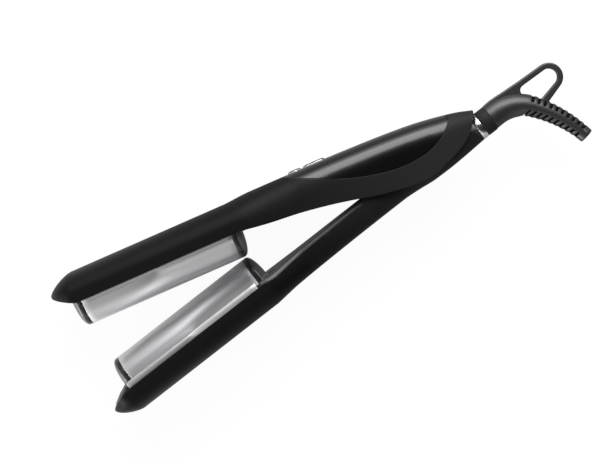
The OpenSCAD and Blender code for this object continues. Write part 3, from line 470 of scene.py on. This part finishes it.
# both arms are drawn in millimetres, with x along the arm from the hinge pin
lower_place = Matrix.Translation(pin) @ Matrix.Scale(0.001, 4)
nose_places = [nose_from - nose_len * (1 - (i / 26) ** 2) for i in range(26)]
rings = []
for x in nose_places + stations(
    (nose_from, bay_to, 12), (bay_to, handle_from, 2), (handle_from, neck_x, 1.5),
):
    rim, w = lower_rim_at(x), lower_half_width(x)
    deep = rim - lower_face_at(x)
    square = oval - eased(x, 10, neck_x)
    step = min(lower_step(x), deep * 0.25)
    outside = [
        (rim - max(d, step), max(-side_flat, min(side_flat, z))) for d, z in arch(w, deep, square)
    ]
    hollow_half, hollow_deep = w - rim_thickness(x, w), deep - min(shell_wall, deep * 0.4)
    inside = [
        (rim - max(d, step), z) for d, z in arch(max(0.2, hollow_half), hollow_deep, square)
    ]
    rings.append(ring_at(x, outside + inside[::-1]))
lower_shell = skinned("lower_shell_moulding", rings, lower_place)
eased_edges(lower_shell, 0.35)
fitted(lower_shell, "lower_arm", "matt_shell", soft_touch, "lower_shell")

# ---- Upper shell ----
# The other arm's moulding, in the same soft-touch plastic. Behind the plates its sides
# run down as cheeks over the hinge. A shallow bed round the handle takes the insert.
upper_rim = lower_rim + 3.7
handle_half = 21.0
insert_t, insert_bed, insert_gap = 1.2, 1.25, 0.22
upper_outer_face = smooth_curve([
    [bay_to, upper_rim + arm_depth], [-110, 32.3], [-60, 32.2], [-30, 31.6], [-8, 30.7],
    [3, 29.9], [13, 28.8], [23, 27.3], [33, 25.4], [43.6, 22.4],
])
upper_narrow = smooth_curve([[-10, 21], [-6, 21], [10, 20.2], [26, 17], [44, 12.6]])
cheek_edge = smooth_curve([
    [-128, upper_rim], [-124, upper_rim - 0.15], [-121, 11.7], [-105, 9.3], [-85, 7.1], [-65, 4.0],
    [-49, 0.7], [-35, -2.4], [-21, -4.6], [-11, -5.8], [-2, -6.0], [5, -4.9], [11, -2.4],
    [19.2, 0.7], [26.6, 4.2], [32, 7.7], [36.4, 12], [40, 17], [42.9, 22], [44.6, 25.5],
])
insert_line = smooth_curve([
    [-88, 32.9], [-79, 28.7], [-66, 22.8], [-53, 17.0], [-42, 13.2], [-32, 10.6], [-24, 9.1],
    [-16, 8.2], [-9, 8.0], [-2, 8.6], [4, 9.6], [10, 11.6], [15, 14.1], [19.5, 17], [23, 20.6],
    [25.3, 24], [26.6, 30],
])
hood_end = 43.0
upper_narrow_from, upper_narrow_to, upper_handle_from = -124, -80, -40


def upper_half_width(x):
    if x < upper_handle_from:
        slim = (handle_half - arm_half) * eased(x, upper_narrow_from, upper_narrow_to)
        return (arm_half + slim) * nose(x, 2)
    return upper_narrow(x)


def upper_rim_at(x):
    return upper_rim + nose_drop * (1 - nose(x, rim_power))


def upper_face_at(x):
    if x < nose_from:
        return upper_rim + nose_drop + (arm_depth - nose_drop) * nose(x, face_power)
    return upper_outer_face(x)


def cheek(x):
    """From the cheek's lower edge up its side to the middle of the back, as (y, z)."""
    w, rim, face = upper_half_width(x), upper_rim_at(x), upper_face_at(x)
    low = rim if x <= bay_to else cheek_edge(x)
    line = [(low, w)] if low < rim - 0.01 else []
    for i in range(161):
        a = math.pi / 2 * i / 160
        y = rim + (face - rim) * math.sin(a) ** (2 / oval)
        if y >= low:
            line.append((y, w * max(0, math.cos(a)) ** (2 / oval)))
    if line[0][0] > low + 0.02 and len(line) > 1:
        line.insert(0, (low, line[0][1]))
    return [(y, min(side_flat, z)) for y, z in line]


def length_of(line):
    """How long a line of points is."""
    return sum(map(math.dist, line, line[1:]))


def split_at(line, level):
    """The part of a rising line below a level, and the part above it."""
    for k, (a, b) in enumerate(zip(line, line[1:])):
        if b[0] >= level > a[0]:
            t = (level - a[0]) / (b[0] - a[0])
            cut = (level, a[1] + (b[1] - a[1]) * t)
            return line[:k + 1] + [cut], [cut] + line[k + 1:]
    return line, [line[-1], line[-1]]


def sunk(line, depth):
    """The line moved in by a depth, square to itself."""
    moved = []
    for i, p in enumerate(line):
        a, b = line[max(0, i - 1)], line[min(len(line) - 1, i + 1)]
        run = math.dist(a, b) or 1
        across = ((b[1] - a[1]) / run, -(b[0] - a[0]) / run)
        if i == len(line) - 1:
            across = (-1, 0)
        moved.append((p[0] + across[0] * depth, p[1] + across[1] * depth))
    return moved


def both_sides(half):
    """A half section and its mirror image, as one line from side to side."""
    return half + [(y, -z) for y, z in half[::-1]]


upper_place = (
    Matrix.Translation(pin) @ Matrix.Rotation(-open_angle, 4, "Z") @ Matrix.Scale(0.001, 4)
)
bed_from, bed_to = -86.9, 25.4
hood_places = stations(
    (nose_from, bay_to, 12), (bay_to, -90, 2), (-90, bed_from, 1), (bed_from, -80, 0.35),
    (-80, 16, 1.6), (16, bed_to, 0.4), (bed_to, 38, 1.3), (38, hood_end, 0.5),
)
no_insert = 1e3      # a level that no side reaches
rings = []
for x in nose_places + hood_places:
    side = cheek(x)
    in_bed = bed_from < x < bed_to
    if x < bed_to:
        low, high = split_at(side, insert_line(x) if in_bed else no_insert)
        low_share = length_of(low) / length_of(side)
    else:
        # behind the bed the side is parted in the share that the bed ended with
        fine = even(side, 400)
        cut = round(400 * low_share)
        low, high = fine[:cut + 1], fine[cut:]
    low, high = even(low, 30), even(high, 40)
    tall = upper_face_at(x) - low[0][0]
    inner = sunk(even(low + high[1:], 70), min(shell_wall, 0.4 * tall))
    if low[0][0] < inner[0][0] and x > bay_to:
        inner[0] = (low[0][0], inner[0][1])
    outside = both_sides(low + sunk(high, insert_bed if in_bed else 0))
    inside = both_sides(inner + [inner[-1]])
    rings.append(ring_at(x, outside + inside[::-1]))
upper_shell = skinned("upper_shell_moulding", rings, upper_place)
eased_edges(upper_shell, 0.3)
fitted(upper_shell, "upper_arm", "matt_shell", soft_touch, "upper_shell")

# ---- Gloss insert ----
# A thin piano-black cover laid into its bed on the handle, round both sides and the
# back. The buttons come through two holes in the middle of its back.
def cut_by(piece, cutter):
    """Cuts a shape out of a piece."""
    cut = piece.modifiers.new("cut", "BOOLEAN")
    cut.object = cutter
    cut.solver = "EXACT"
    baked_down(piece)
    bpy.data.objects.remove(cutter)


def plug(name, outline, y_from, y_to, place):
    """A straight plug along Y over an outline of (x, z) points."""
    return skinned(name, [[(x, y, z) for x, z in outline] for y in (y_from, y_to)], place)


def long_round(x, length, width, grow=0.0, count=48):
    """The outline of a button: straight sides with round ends, as (x, z) points."""
    r, half = width / 2 + grow, (length - width) / 2
    return [
        (x + math.copysign(half, math.cos(a)) + r * math.cos(a), r * math.sin(a))
        for a in (2 * math.pi * (i + 0.5) / count for i in range(count))
    ]


buttons = (          # name, body, node, centre, length and width
    ("power_cap", "power_key", "power_button", -78.0, 9, 9),
    ("temperature_cap", "temperature_rocker", "temperature_button", -64.5, 15, 7),
)
button_gap = 0.3
rings = []
for x in stations((bed_from + 0.3, -80, 0.3), (-80, 16, 1.2), (16, bed_to - 0.35, 0.3)):
    _, high = split_at(cheek(x), insert_line(x))
    fine = even(high, 160)
    gap = min(len(fine) - 2, max(1, round(insert_gap / (math.dist(fine[0], fine[1]) + 1e-9))))
    skin = even(fine[gap:], 60)
    rings.append(ring_at(x, both_sides(skin) + both_sides(sunk(skin, insert_t))[::-1]))
insert = skinned("gloss_insert_cover", rings, upper_place)
for _, _, _, centre, length, width in buttons:
    for piece in (insert, upper_shell):
        hole = long_round(centre, length, width, button_gap)
        cut_by(piece, plug("hole", hole, 26, 36, upper_place))
eased_edges(insert, 0.3, 45)
piano_black = finish_of(
    "piano_black", moulded,
    {"Grain per metre": 60.0, "Plastic": (0.001, 0.001, 0.001, 1),
     "Edge wear and highlight": (0.004, 0.004, 0.0045, 1), "Roughness": 0.25, "Spread": 0.03},
    (0.02, 0.0005), Specular_IOR_Level=0.5,
)
fitted(insert, "upper_arm", "gloss_insert", piano_black, "gloss_insert")

# ---- Wave plates ----
# Each is one pressed aluminium sheet, 1.2 mm thick: a barrel, a trough beside it and a
# rolled lip along the trough's edge. It is brushed along its length before pressing.
barrel_r, trough_r, plate_t = 13.0, 13.8, 1.2
barrel_up, axis_z, lip_z, lip_up = 4.0, 13.8, 28.8, 2.2
lip_roll = 2.4       # how far down the lip's rounded outside reaches
lip_tuck = -3.0      # where the lip's edge ends, inside the shell
barrel_foot = -axis_z - barrel_r
# each plate is drawn from its arm's rim, and the upper one is turned over
lower_bed = lower_place @ Matrix.Translation((0, lower_rim, 0))
upper_bed = (
    upper_place @ Matrix.Translation((0, upper_rim, 0)) @ Matrix.Rotation(math.pi, 4, "X")
)
arms = (
    ("lower", "lower_arm", lower_place, lower_bed), ("upper", "upper_arm", upper_place, upper_bed),
)


def wave(inset=0.0, count=48):
    """The wave from the barrel's foot to the trough's edge, as (y, z) points."""
    r, t = barrel_r - inset, trough_r + inset
    turns = [math.pi * i / count for i in range(count + 1)]
    barrel = [(barrel_up + r * math.sin(a), -axis_z - r * math.cos(a)) for a in turns]
    trough = [(-t * math.sin(a), axis_z - t * math.cos(a)) for a in turns]
    return [(0, -axis_z - r)] + barrel + trough


# Brushed metal: long hairs along X, some bright and smooth, some dull and rough
brushed, given = effect("brushed_metal", [
    ("Place", "Vector", (0, 0, 0)),
    ("Turn", "Float", 0.0),
    ("Bright", "Color", (0.66, 0.66, 0.67, 1)),
    ("Dull", "Color", (0.5, 0.5, 0.51, 1)),
    ("Roughness", "Float", 0.44),
    ("Spread", "Float", 0.08),
])
turn = shader_step(
    brushed, "VectorRotate", {"Vector": given["Place"], "Angle": given["Turn"]},
    rotation_type="Z_AXIS",
)
drawn = shader_step(
    brushed, "VectorMath", {0: turn.outputs[0], 1: (12, 2600, 2600)}, operation="MULTIPLY",
)
hairs = shader_step(brushed, "TexNoise", {"Vector": drawn.outputs[0], "Scale": 1, "Detail": 4})
tint = shader_step(
    brushed, "Mix", {"Factor": hairs.outputs["Fac"], 6: given["Bright"], 7: given["Dull"]},
    data_type="RGBA",
)
streak = shader_step(
    brushed, "Math", {0: hairs.outputs["Fac"], 1: given["Spread"], 2: given["Roughness"]},
    operation="MULTIPLY_ADD",
)
put_out(brushed, tint.outputs[2], streak.outputs[0], hairs.outputs["Fac"])

lip_inner = lip_z - plate_t
lip = [
    (lip_up - lip_roll * (1 - math.cos(a)), lip_inner + plate_t * math.sin(a))
    for a in (math.pi / 2 * i / 12 for i in range(13))
] + [(lip_tuck, lip_z), (lip_tuck, lip_inner)]
foot = [(0, -lip_z), (plate_t, -lip_z)]
section = [(plate_t, barrel_foot)] + wave()[1:] + lip + wave(plate_t)[::-1] + foot
for arm, body, place, bed in arms:
    metal = finish_of(
        arm + "_brushed_alloy", brushed, {"Turn": open_angle if arm == "upper" else 0.0},
        (0.08, 0.0001), Metallic=1.0, Anisotropic=0.5,
    )
    rings = [ring_at(x, section) for x in stations((plate_front, plate_rear, 4))]
    plate = skinned(arm + "_pressed_wave_plate", rings, bed)
    eased_edges(plate, 0.15, 50, 2)
    fitted(plate, body, "wave_alloy", metal, arm + "_wave_plate")

# ---- End caps ----
# Black heat-resistant mouldings at both ends of each plate. A band follows the wave,
# and the barrel ends in a low rounded dome that stands on the cover. The domes are
# painted a lighter grey, a painted reflection of the light from the tips' side.
cap_bulge, cap_clear = 4.3, 0.02
dome_rise, dome_half = 16.6, 12.7
cap_black = finish_of(
    "heat_resistant_black", moulded,
    {"Plastic": (0.012, 0.012, 0.013, 1), "Edge wear and highlight": (0.03, 0.03, 0.03, 1), "Roughness": 0.3},
    (0.05, 0.0001), Specular_IOR_Level=0.5,
)
# painted reflection: the domes of the same black moulding are painted grey for the light they catch
# from the tips' side
dome_painted_reflection = finish_of(
    "heat_resistant_painted_reflection", moulded,
    {"Plastic": (0.09, 0.09, 0.092, 1), "Edge wear and highlight": (0.14, 0.14, 0.14, 1), "Roughness": 0.35},
    (0.05, 0.0001), Specular_IOR_Level=0.5,
)
cap_top = [(plate_t, -lip_z - 0.05), (plate_t, barrel_foot)] + wave(cap_clear)[1:] + [(0.05, lip_z)]
cap_under = [
    (-(arm_depth - shell_wall - 0.2) * math.sin(a) ** (2 / oval),
     lip_z * math.copysign(abs(math.cos(a)) ** (2 / oval), math.cos(a)))
    for a in (math.pi * i / 60 for i in range(1, 60))
]
for arm, body, place, bed in arms:
    for end, plate_end, node in ((-1, plate_front, "front"), (1, plate_rear, "rear")):
        name = arm + "_" + node + "_cap"
        xs = sorted((plate_end, plate_end + end * band))
        cap = skinned(name + "_band", [ring_at(x, cap_top + cap_under) for x in xs], bed)
        eased_edges(cap, 0.2, 50, 2)
        fitted(cap, body, "cap_black", cap_black, name)
        rings = []
        for lean in (math.pi / 2 * i / 20 for i in range(21)):
            far = plate_end + end * (band - 0.1 + (cap_bulge + 0.1) * math.sin(lean))
            rise, half = dome_rise * math.cos(lean), dome_half * math.cos(lean)
            rings.append([
                (far, max(0.05, rise * math.sin(a)), -axis_z - half * math.cos(a))
                for a in (math.pi * k / 48 for k in range(49))
            ])
        dome = skinned(name + "_dome", rings, bed)
        eased_edges(dome, 0)
        fitted(dome, body, "cap_black", dome_painted_reflection)

# ---- Inner covers ----
# Satin black lids snapped between each shell's rims, crowned a little. Each has a pocket
# for the other barrel's dome, and the handle's has countersunk places for two screws.
cover_t, cover_crown, cover_gap = 1.8, 1.6, 0.12
tongue_share = 0.985
pocket_r, pocket_deep, pocket_wall = 10.2, 5.4, 0.8
screw_seats = ((-118.5, 8), (-52.0, 4.8))      # place and length, the front one a slot
screw_seat_w = 4.8
notch_len, notch_w, notch_up = 5.6, 1.0, 0.8   # a fine slit in the lower lid's side
notch_from, notch_to = 17, 31
over_rim_from, over_rim_to = -14, 12           # where the lower cover widens over its rims
nose_crown = smooth_curve([
    [tip, 0.2], [tip + 3, 0.6], [tip + 9, 1.2], [nose_from - 3, 1.5], [nose_from, 1.5],
])
neck_crown = smooth_curve([
    [-20, cover_crown], [over_rim_from, cover_crown], [5, 2], [24, 5.4], [34, 7.5], [neck_x, neck_r],
])
satin_black = finish_of(
    "satin_black", moulded,
    {"Plastic": (0.036, 0.036, 0.037, 1), "Edge wear and highlight": (0.07, 0.07, 0.07, 1), "Roughness": 0.4},
    (0.08, 0.0002), Specular_IOR_Level=0.35,
)


def lid(name, places, half_width, rim, crown, side, place):
    """A cover with a low crown outside and a plain tongue inside."""
    rings = []
    for x in places:
        w, y = half_width(x), rim(x) + side * 0.05
        step = lower_step(x) - 0.1 if side > 0 and x < over_rim_from else 0
        rise = max(0.05, crown(x)) + step
        over = arch(w, rise, 3.4 if step > 0.5 else 2, 48)
        inner_y, inner_w = y - side * cover_t, w * tongue_share
        tongue = [(inner_y, -inner_w), (inner_y, inner_w)]
        rings.append(ring_at(x, [(y + side * (d - step), z) for d, z in over] + tongue))
    return skinned(name, rings, place)


def cone(name, x_from, x_to, r_from, r_to, place, count=64):
    """A cone along X on the trough's axis."""
    return skinned(name, [
        [(x, r * math.sin(a), axis_z + r * math.cos(a))
         for a in (2 * math.pi * i / count for i in range(count))]
        for x, r in ((x_from, r_from), (x_to, r_to))
    ], place)


def cover_half(x, half_width):
    """Half the width of a cover that fits between a shell's rims."""
    return half_width - rim_thickness(x, half_width) - cover_gap


def lower_cover_half(x):
    """The same for the lower handle, where the cover spreads over the rims at the neck."""
    w = lower_half_width(x)
    between = cover_half(x, w)
    return between + (w - between) * eased(x, over_rim_from, over_rim_to)


for arm, body, place, bed in arms:
    low = arm == "lower"
    side = 1 if low else -1
    width, rim = (lower_half_width, lower_rim_at) if low else (upper_half_width, upper_rim_at)
    nose_lid = lid(
        arm + "_nose_lid", stations((nose_from - nose_len * 0.96, nose_from - 0.05, 0.6)),
        lambda x: max(0.5, cover_half(x, width(x))), rim, nose_crown, side, place,
    )
    handle_lid = lid(
        arm + "_handle_lid",
        stations((bay_to + 0.05, -24, 2), (-24, neck_x - 0.05, 1.5) if low else (-24, -22, 1)),
        lower_cover_half if low else (lambda x: cover_half(x, width(x))),
        rim, neck_crown if low else (lambda x: cover_crown), side, place,
    )
    for lid_piece, end, near in ((nose_lid, -1, nose_from), (handle_lid, 1, bay_to)):
        far = near + end * (pocket_deep + 0.1)
        cut_by(lid_piece, cone("pocket", near - end, far, trough_r, pocket_r, bed))
    for x, length in screw_seats:
        cut_by(handle_lid, plug("hole", long_round(x, length, screw_seat_w), -0.7, 6, bed))
    if low:
        slit = long_round(screw_seats[0][0], notch_len, notch_w)
        notch = [[(x, lower_rim + notch_up + y, z) for x, y in slit] for z in (notch_from, notch_to)]
        cut_by(handle_lid, skinned("notch", notch, place))
    for lid_piece, node in ((nose_lid, "nose_cover"), (handle_lid, "handle_cover")):
        eased_edges(lid_piece, 0.2, 40, 2)
        fitted(lid_piece, body, "satin_cover", satin_black, arm + "_" + node)
    for end, near, name in ((-1, nose_from, "_nose_pocket"), (1, bay_to, "_handle_pocket")):
        rings = []
        for x, r in ((0.1, trough_r), (pocket_deep, pocket_r), (pocket_deep + 0.4, 0.3)):
            sink = 0.6 + (lower_rim - lower_rim_at(near - x) if end < 0 else 0)
            rings.append([
                (near + end * x, min(-sink, r * math.sin(a)), axis_z + r * math.cos(a))
                for a in (math.pi + math.pi * i / 48 for i in range(49))
            ])
        cup = skinned(arm + name, rings, bed, closed=False)
        wall = cup.modifiers.new("wall", "SOLIDIFY")
        wall.thickness = pocket_wall / 1000
        wall.offset = 0
        baked_down(cup)
        eased_edges(cup, 0)
        fitted(cup, body, "satin_cover", satin_black)

# ---- Chrome ring ----
# A polished ring slipped over the neck, between the lower arm and the swivel collar.
def turned(name, profile, place, count=96):
    """A round piece about the X axis, from (x, radius) points."""
    return skinned(name, [
        [(x, r * math.sin(a), r * math.cos(a))
         for a in (2 * math.pi * i / count for i in range(count))]
        for x, r in profile
    ], place)


chrome = finish_of(
    "polished_chrome", brushed,
    {"Bright": (0.9, 0.9, 0.91, 1), "Dull": (0.82, 0.82, 0.83, 1), "Roughness": 0.18, "Spread": 0.04},
    None, Metallic=1.0,
)
ring_len, ring_r, ring_bore = 4.2, 8.55, 6.8
ring_to = neck_x + ring_len
ring = turned("chrome_neck_ring", [
    (neck_x + 0.05, ring_bore), (neck_x + 0.05, 8.35), (neck_x + 0.2, ring_r), (neck_x + 0.5, neck_r),
    (ring_to - 0.5, neck_r), (ring_to - 0.2, ring_r), (ring_to - 0.05, 8.35),
    (ring_to - 0.05, ring_bore),
], lower_place)
eased_edges(ring, 0, 60)
fitted(ring, "lower_arm", "chrome", chrome, "chrome_ring")

# ---- Swivel collar ----
# A matt black collar that turns with the cord. A fine groove parts it from the relief.
turning_gap, collar_len = 0.2, 7.2
collar_from = ring_to + turning_gap
collar_to = collar_from + collar_len
collar = turned("swivel_collar_turned", [
    (collar_from, 5.2), (collar_from, 8.4), (collar_from + 0.1, 8.6), (collar_from + 0.25, neck_r),
    (collar_to - 0.9, neck_r), (collar_to - 0.3, 8.45), (collar_to, 8.0), (collar_to, 3.3),
], lower_place)
eased_edges(collar, 0, 60)
fitted(collar, "cord_swivel", "matt_shell", soft_touch, "swivel_collar")

# ---- Strain relief ----
# One moulding in flexible black rubber: a smooth bend out of the collar, then a ribbed
# part with slots from both sides of a spine, tapering to its cut end.
relief_from, straight = collar_to, 4.1
bend_r, bend_a, rib_r, rib_a = 27.0, math.radians(53), 90.0, math.radians(26)
first_len, rib_len = bend_r * bend_a, rib_r * rib_a
relief_len = straight + first_len + rib_len


def relief_at(s):
    """Middle of the relief and its heading, at a length along it."""
    if s < straight:
        return relief_from + s, 0.0, 0.0
    if s < straight + first_len:
        a = (s - straight) / bend_r
        return relief_from + straight + bend_r * math.sin(a), -bend_r * (1 - math.cos(a)), a
    a = bend_a + (s - straight - first_len) / rib_r
    cx = relief_from + straight + (bend_r - rib_r) * math.sin(bend_a)
    cy = -bend_r + (bend_r - rib_r) * math.cos(bend_a)
    return cx + rib_r * math.sin(a), cy + rib_r * math.cos(a), a


relief_radius = smooth_curve([
    [0, 8.3], [8, 8.1], [18, 7.6], [straight + first_len, 7.1], [relief_len, 4.95],
])

# ten slots from each side leave a spine in the middle. On the inner side of the bend
# they lean forward, less and less towards the end.
slot_count, slot_half, slot_edge, plain_end = 10, 0.95, 0.02, 5.6
spine_share, first_lean, lean_lost = 0.36, 0.7, 0.5
slot_from = straight + first_len - 0.8
slot_pitch = (relief_len - plain_end - slot_from) / (slot_count - 1)
places = [(s, False) for s in stations((0.05, slot_from - slot_half, 1.2))]
for i in range(slot_count):
    slot = slot_from + i * slot_pitch
    places += [
        (slot - slot_half, False), (slot - slot_half + slot_edge, True),
        (slot + slot_half - slot_edge, True), (slot + slot_half, False),
    ]
places += [(relief_len - 1.2, False), (relief_len - 0.3, False), (relief_len, False)]
rings = []
for s, in_slot in places:
    x, y, heading = relief_at(s)
    r = relief_radius(s) * (0.94 if s == relief_len else 1)
    spine = relief_radius(s) * spine_share
    lean = first_lean - lean_lost * max(0, s - slot_from) / (relief_len - slot_from)
    lean *= eased(s, 18, slot_from) * (1 - eased(s, relief_len - 4.5, relief_len - 1.2))
    ring_points = []
    for k in range(64):
        a = 2 * math.pi * k / 64
        across, up = r * math.cos(a), r * math.sin(a)
        if in_slot:
            across = max(-spine, min(spine, across))
        slide = -lean * max(0, -across - spine)
        ring_points.append((
            x + across * math.sin(heading) + slide * math.cos(heading),
            y + across * math.cos(heading) - slide * math.sin(heading), up,
        ))
    rings.append(ring_points)
relief = skinned("ribbed_relief", rings, lower_place)
eased_edges(relief, 0.22, 50, 2)
rubber = finish_of(
    "flexible_black_rubber", moulded,
    {"Grain per metre": 1800.0, "Plastic": (0.013, 0.013, 0.0135, 1),
     "Edge wear and highlight": (0.03, 0.03, 0.031, 1), "Roughness": 0.4},
    (0.1, 0.0002), Specular_IOR_Level=0.55,
)
fitted(relief, "cord_swivel", "relief_rubber", rubber, "strain_relief")

# painted shade: a near-black core inside the relief fills the slots with the shade that falls in them
painted_slot_shade = finish_of(
    "painted_slot_shade", moulded,
    {"Plastic": (0.002, 0.002, 0.002, 1), "Edge wear and highlight": (0.003, 0.003, 0.003, 1), "Roughness": 0.8},
    None, Specular_IOR_Level=0.05,
)
rings = []
for s in stations((slot_from - 2.5, relief_len - 2, 1.5)):
    x, y, heading = relief_at(s)
    r = relief_radius(s) * 0.93
    rings.append([
        (x + across * math.sin(heading), y + across * math.cos(heading), up)
        for across, up in (
            (r * math.cos(a), r * math.sin(a)) for a in (2 * math.pi * k / 48 for k in range(48))
        )
    ])
shade_core = skinned("painted_shade_core", rings, lower_place)
eased_edges(shade_core, 0)
fitted(shade_core, "cord_swivel", "relief_rubber", painted_slot_shade)

# ---- Hanging loop ----
# A flat strap with round edges, moulded on the relief's back, for a hook.
loop_x, loop_y, loop_r, strap = 99.4, -2.4, 9.3, 3.8
strap_flat, strap_round = 1.6, 0.9      # half the flat of its side, and its edges' rounding


def loop_end(r):
    """The loop's round end, as (x, y) points."""
    return [
        (loop_x + r * math.cos(a), loop_y + r * math.sin(a))
        for a in (math.radians(86 - 159 * i / 24) for i in range(25))
    ]


outer = loop_end(loop_r) + [
    (89.0, -15.2), (85, -17), (80, -9), (66, 0), (collar_to - 1.4, 0), (collar_to - 1.4, 8.5),
    (57, 9.0), (60, 9.1), (64, 8.9), (70, 8.4), (82, 7.6),
]
eye = loop_end(loop_r - strap) + [
    (84, -11.4), (81.4, -7), (79.6, -3), (79.0, -1.2), (79.0, 0.6), (79.6, 2.2), (80.8, 3.2),
    (82.2, 3.6),
]
strap_curve = bpy.data.curves.new("hanging_loop", "CURVE")
strap_curve.dimensions = "2D"
strap_curve.fill_mode = "BOTH"
strap_curve.extrude = strap_flat / 1000
strap_curve.bevel_depth = strap_round / 1000
strap_curve.bevel_resolution = 4
strap_curve.offset = -strap_round / 1000
for points in (outer, eye):
    spline = strap_curve.splines.new("POLY")
    spline.points.add(len(points) - 1)
    for p, (x, y) in zip(spline.points, points):
        p.co = (x / 1000, y / 1000, 0, 1)
    spline.use_cyclic_u = True
loop_shape = bpy.data.objects.new("loop_shape", strap_curve)
bpy.context.scene.collection.objects.link(loop_shape)
loop_mesh = bpy.data.meshes.new_from_object(
    loop_shape.evaluated_get(bpy.context.evaluated_depsgraph_get())
)
bpy.data.objects.remove(loop_shape)
loop_mesh.transform(Matrix.Translation(pin))
loop = bpy.data.objects.new("hanging_loop_strap", loop_mesh)
bpy.context.scene.collection.objects.link(loop)
eased_edges(loop, 0)
fitted(loop, "cord_swivel", "relief_rubber", rubber)

# ---- Buttons ----
# The power button and the temperature button stand just proud of the handle's back.
# Each is a dark cap with a bright plated rim.
button_up = 1.25
cap_levels = ((-3.6, 0), (-0.75, 0), (-0.5, -0.3), (-0.25, -0.8), (-0.08, -1.5), (0, -2.6))
rim_levels = ((-3.3, 0.05), (-1.0, 0.1), (-0.8, 0.1), (-0.7, 0.0))
plated = finish_of(
    "satin_plated", brushed,
    {"Bright": (0.8, 0.8, 0.81, 1), "Dull": (0.7, 0.7, 0.71, 1), "Roughness": 0.35, "Spread": 0.04},
    None, Metallic=1.0,
)
for name, body, node, centre, length, width in buttons:
    top = upper_face_at(centre) + button_up
    for piece_name, levels, finish, nodes in (
        (name, cap_levels, satin_black, [node]), (name + "_rim", rim_levels, plated, []),
    ):
        piece = skinned(piece_name, [
            [(x, top + up, z) for x, z in long_round(centre, length, width, grow)]
            for up, grow in levels
        ], upper_place)
        eased_edges(piece, 0, 50)
        fitted(piece, body, "button_grey", finish, *nodes)

# ---- Inner parts ----
# What the shells hide: heaters, spring, pin, board and screws. They keep their shapes
# from the frame and get plain workshop finishes.
def of_colour(name, deep, pale, roughness):
    """A plain moulded or fired finish."""
    values = {"Plastic": (*deep, 1), "Edge wear and highlight": (*pale, 1), "Roughness": roughness}
    return finish_of(name, moulded, values, (0.1, 0.0002))


bright_steel = finish_of(
    "bright_steel", brushed,
    {"Bright": (0.62, 0.62, 0.63, 1), "Dull": (0.45, 0.45, 0.46, 1), "Roughness": 0.22},
    None, Metallic=1.0,
)
extruded_alloy = finish_of("extruded_alloy", brushed, {"Roughness": 0.35}, None, Metallic=1.0)
fired_ceramic = of_colour("fired_ceramic", (0.75, 0.7, 0.6), (0.85, 0.82, 0.75), 0.6)
natural_nylon = of_colour("natural_nylon", (0.7, 0.67, 0.58), (0.8, 0.78, 0.7), 0.4)
glass_sleeve = of_colour("glass_sleeve", (0.6, 0.56, 0.5), (0.75, 0.72, 0.66), 0.7)
solder_mask = of_colour("solder_mask", (0.01, 0.09, 0.03), (0.02, 0.16, 0.06), 0.3)
lamp_clear = of_colour("lamp_clear", (0.7, 0.7, 0.68), (0.8, 0.8, 0.78), 0.15)
switch_grey = of_colour("switch_grey", (0.05, 0.05, 0.052), (0.09, 0.09, 0.09), 0.4)
inner_finish = {
    "lower_heat_spreader": extruded_alloy, "upper_heat_spreader": extruded_alloy,
    "lower_heater": fired_ceramic, "upper_heater": fired_ceramic, "thermal_fuse": fired_ceramic,
    "lower_heater_clamp": bright_steel, "upper_heater_clamp": bright_steel,
    "lower_leads": glass_sleeve, "upper_leads": glass_sleeve,
    "lower_screws": bright_steel, "upper_screws": bright_steel, "board_screws": bright_steel,
    "hinge_pin": bright_steel, "rocker_pin": bright_steel, "opening_spring": bright_steel,
    "swivel_clip": bright_steel, "hinge_bushes": satin_black, "swivel_socket": natural_nylon,
    "circuit_board": solder_mask, "tact_switches": switch_grey, "indicator_lamps": lamp_clear,
}
for node, finish in inner_finish.items():
    part = frame["nodes"][node]
    part.data.materials.clear()
    part.data.materials.append(finish)
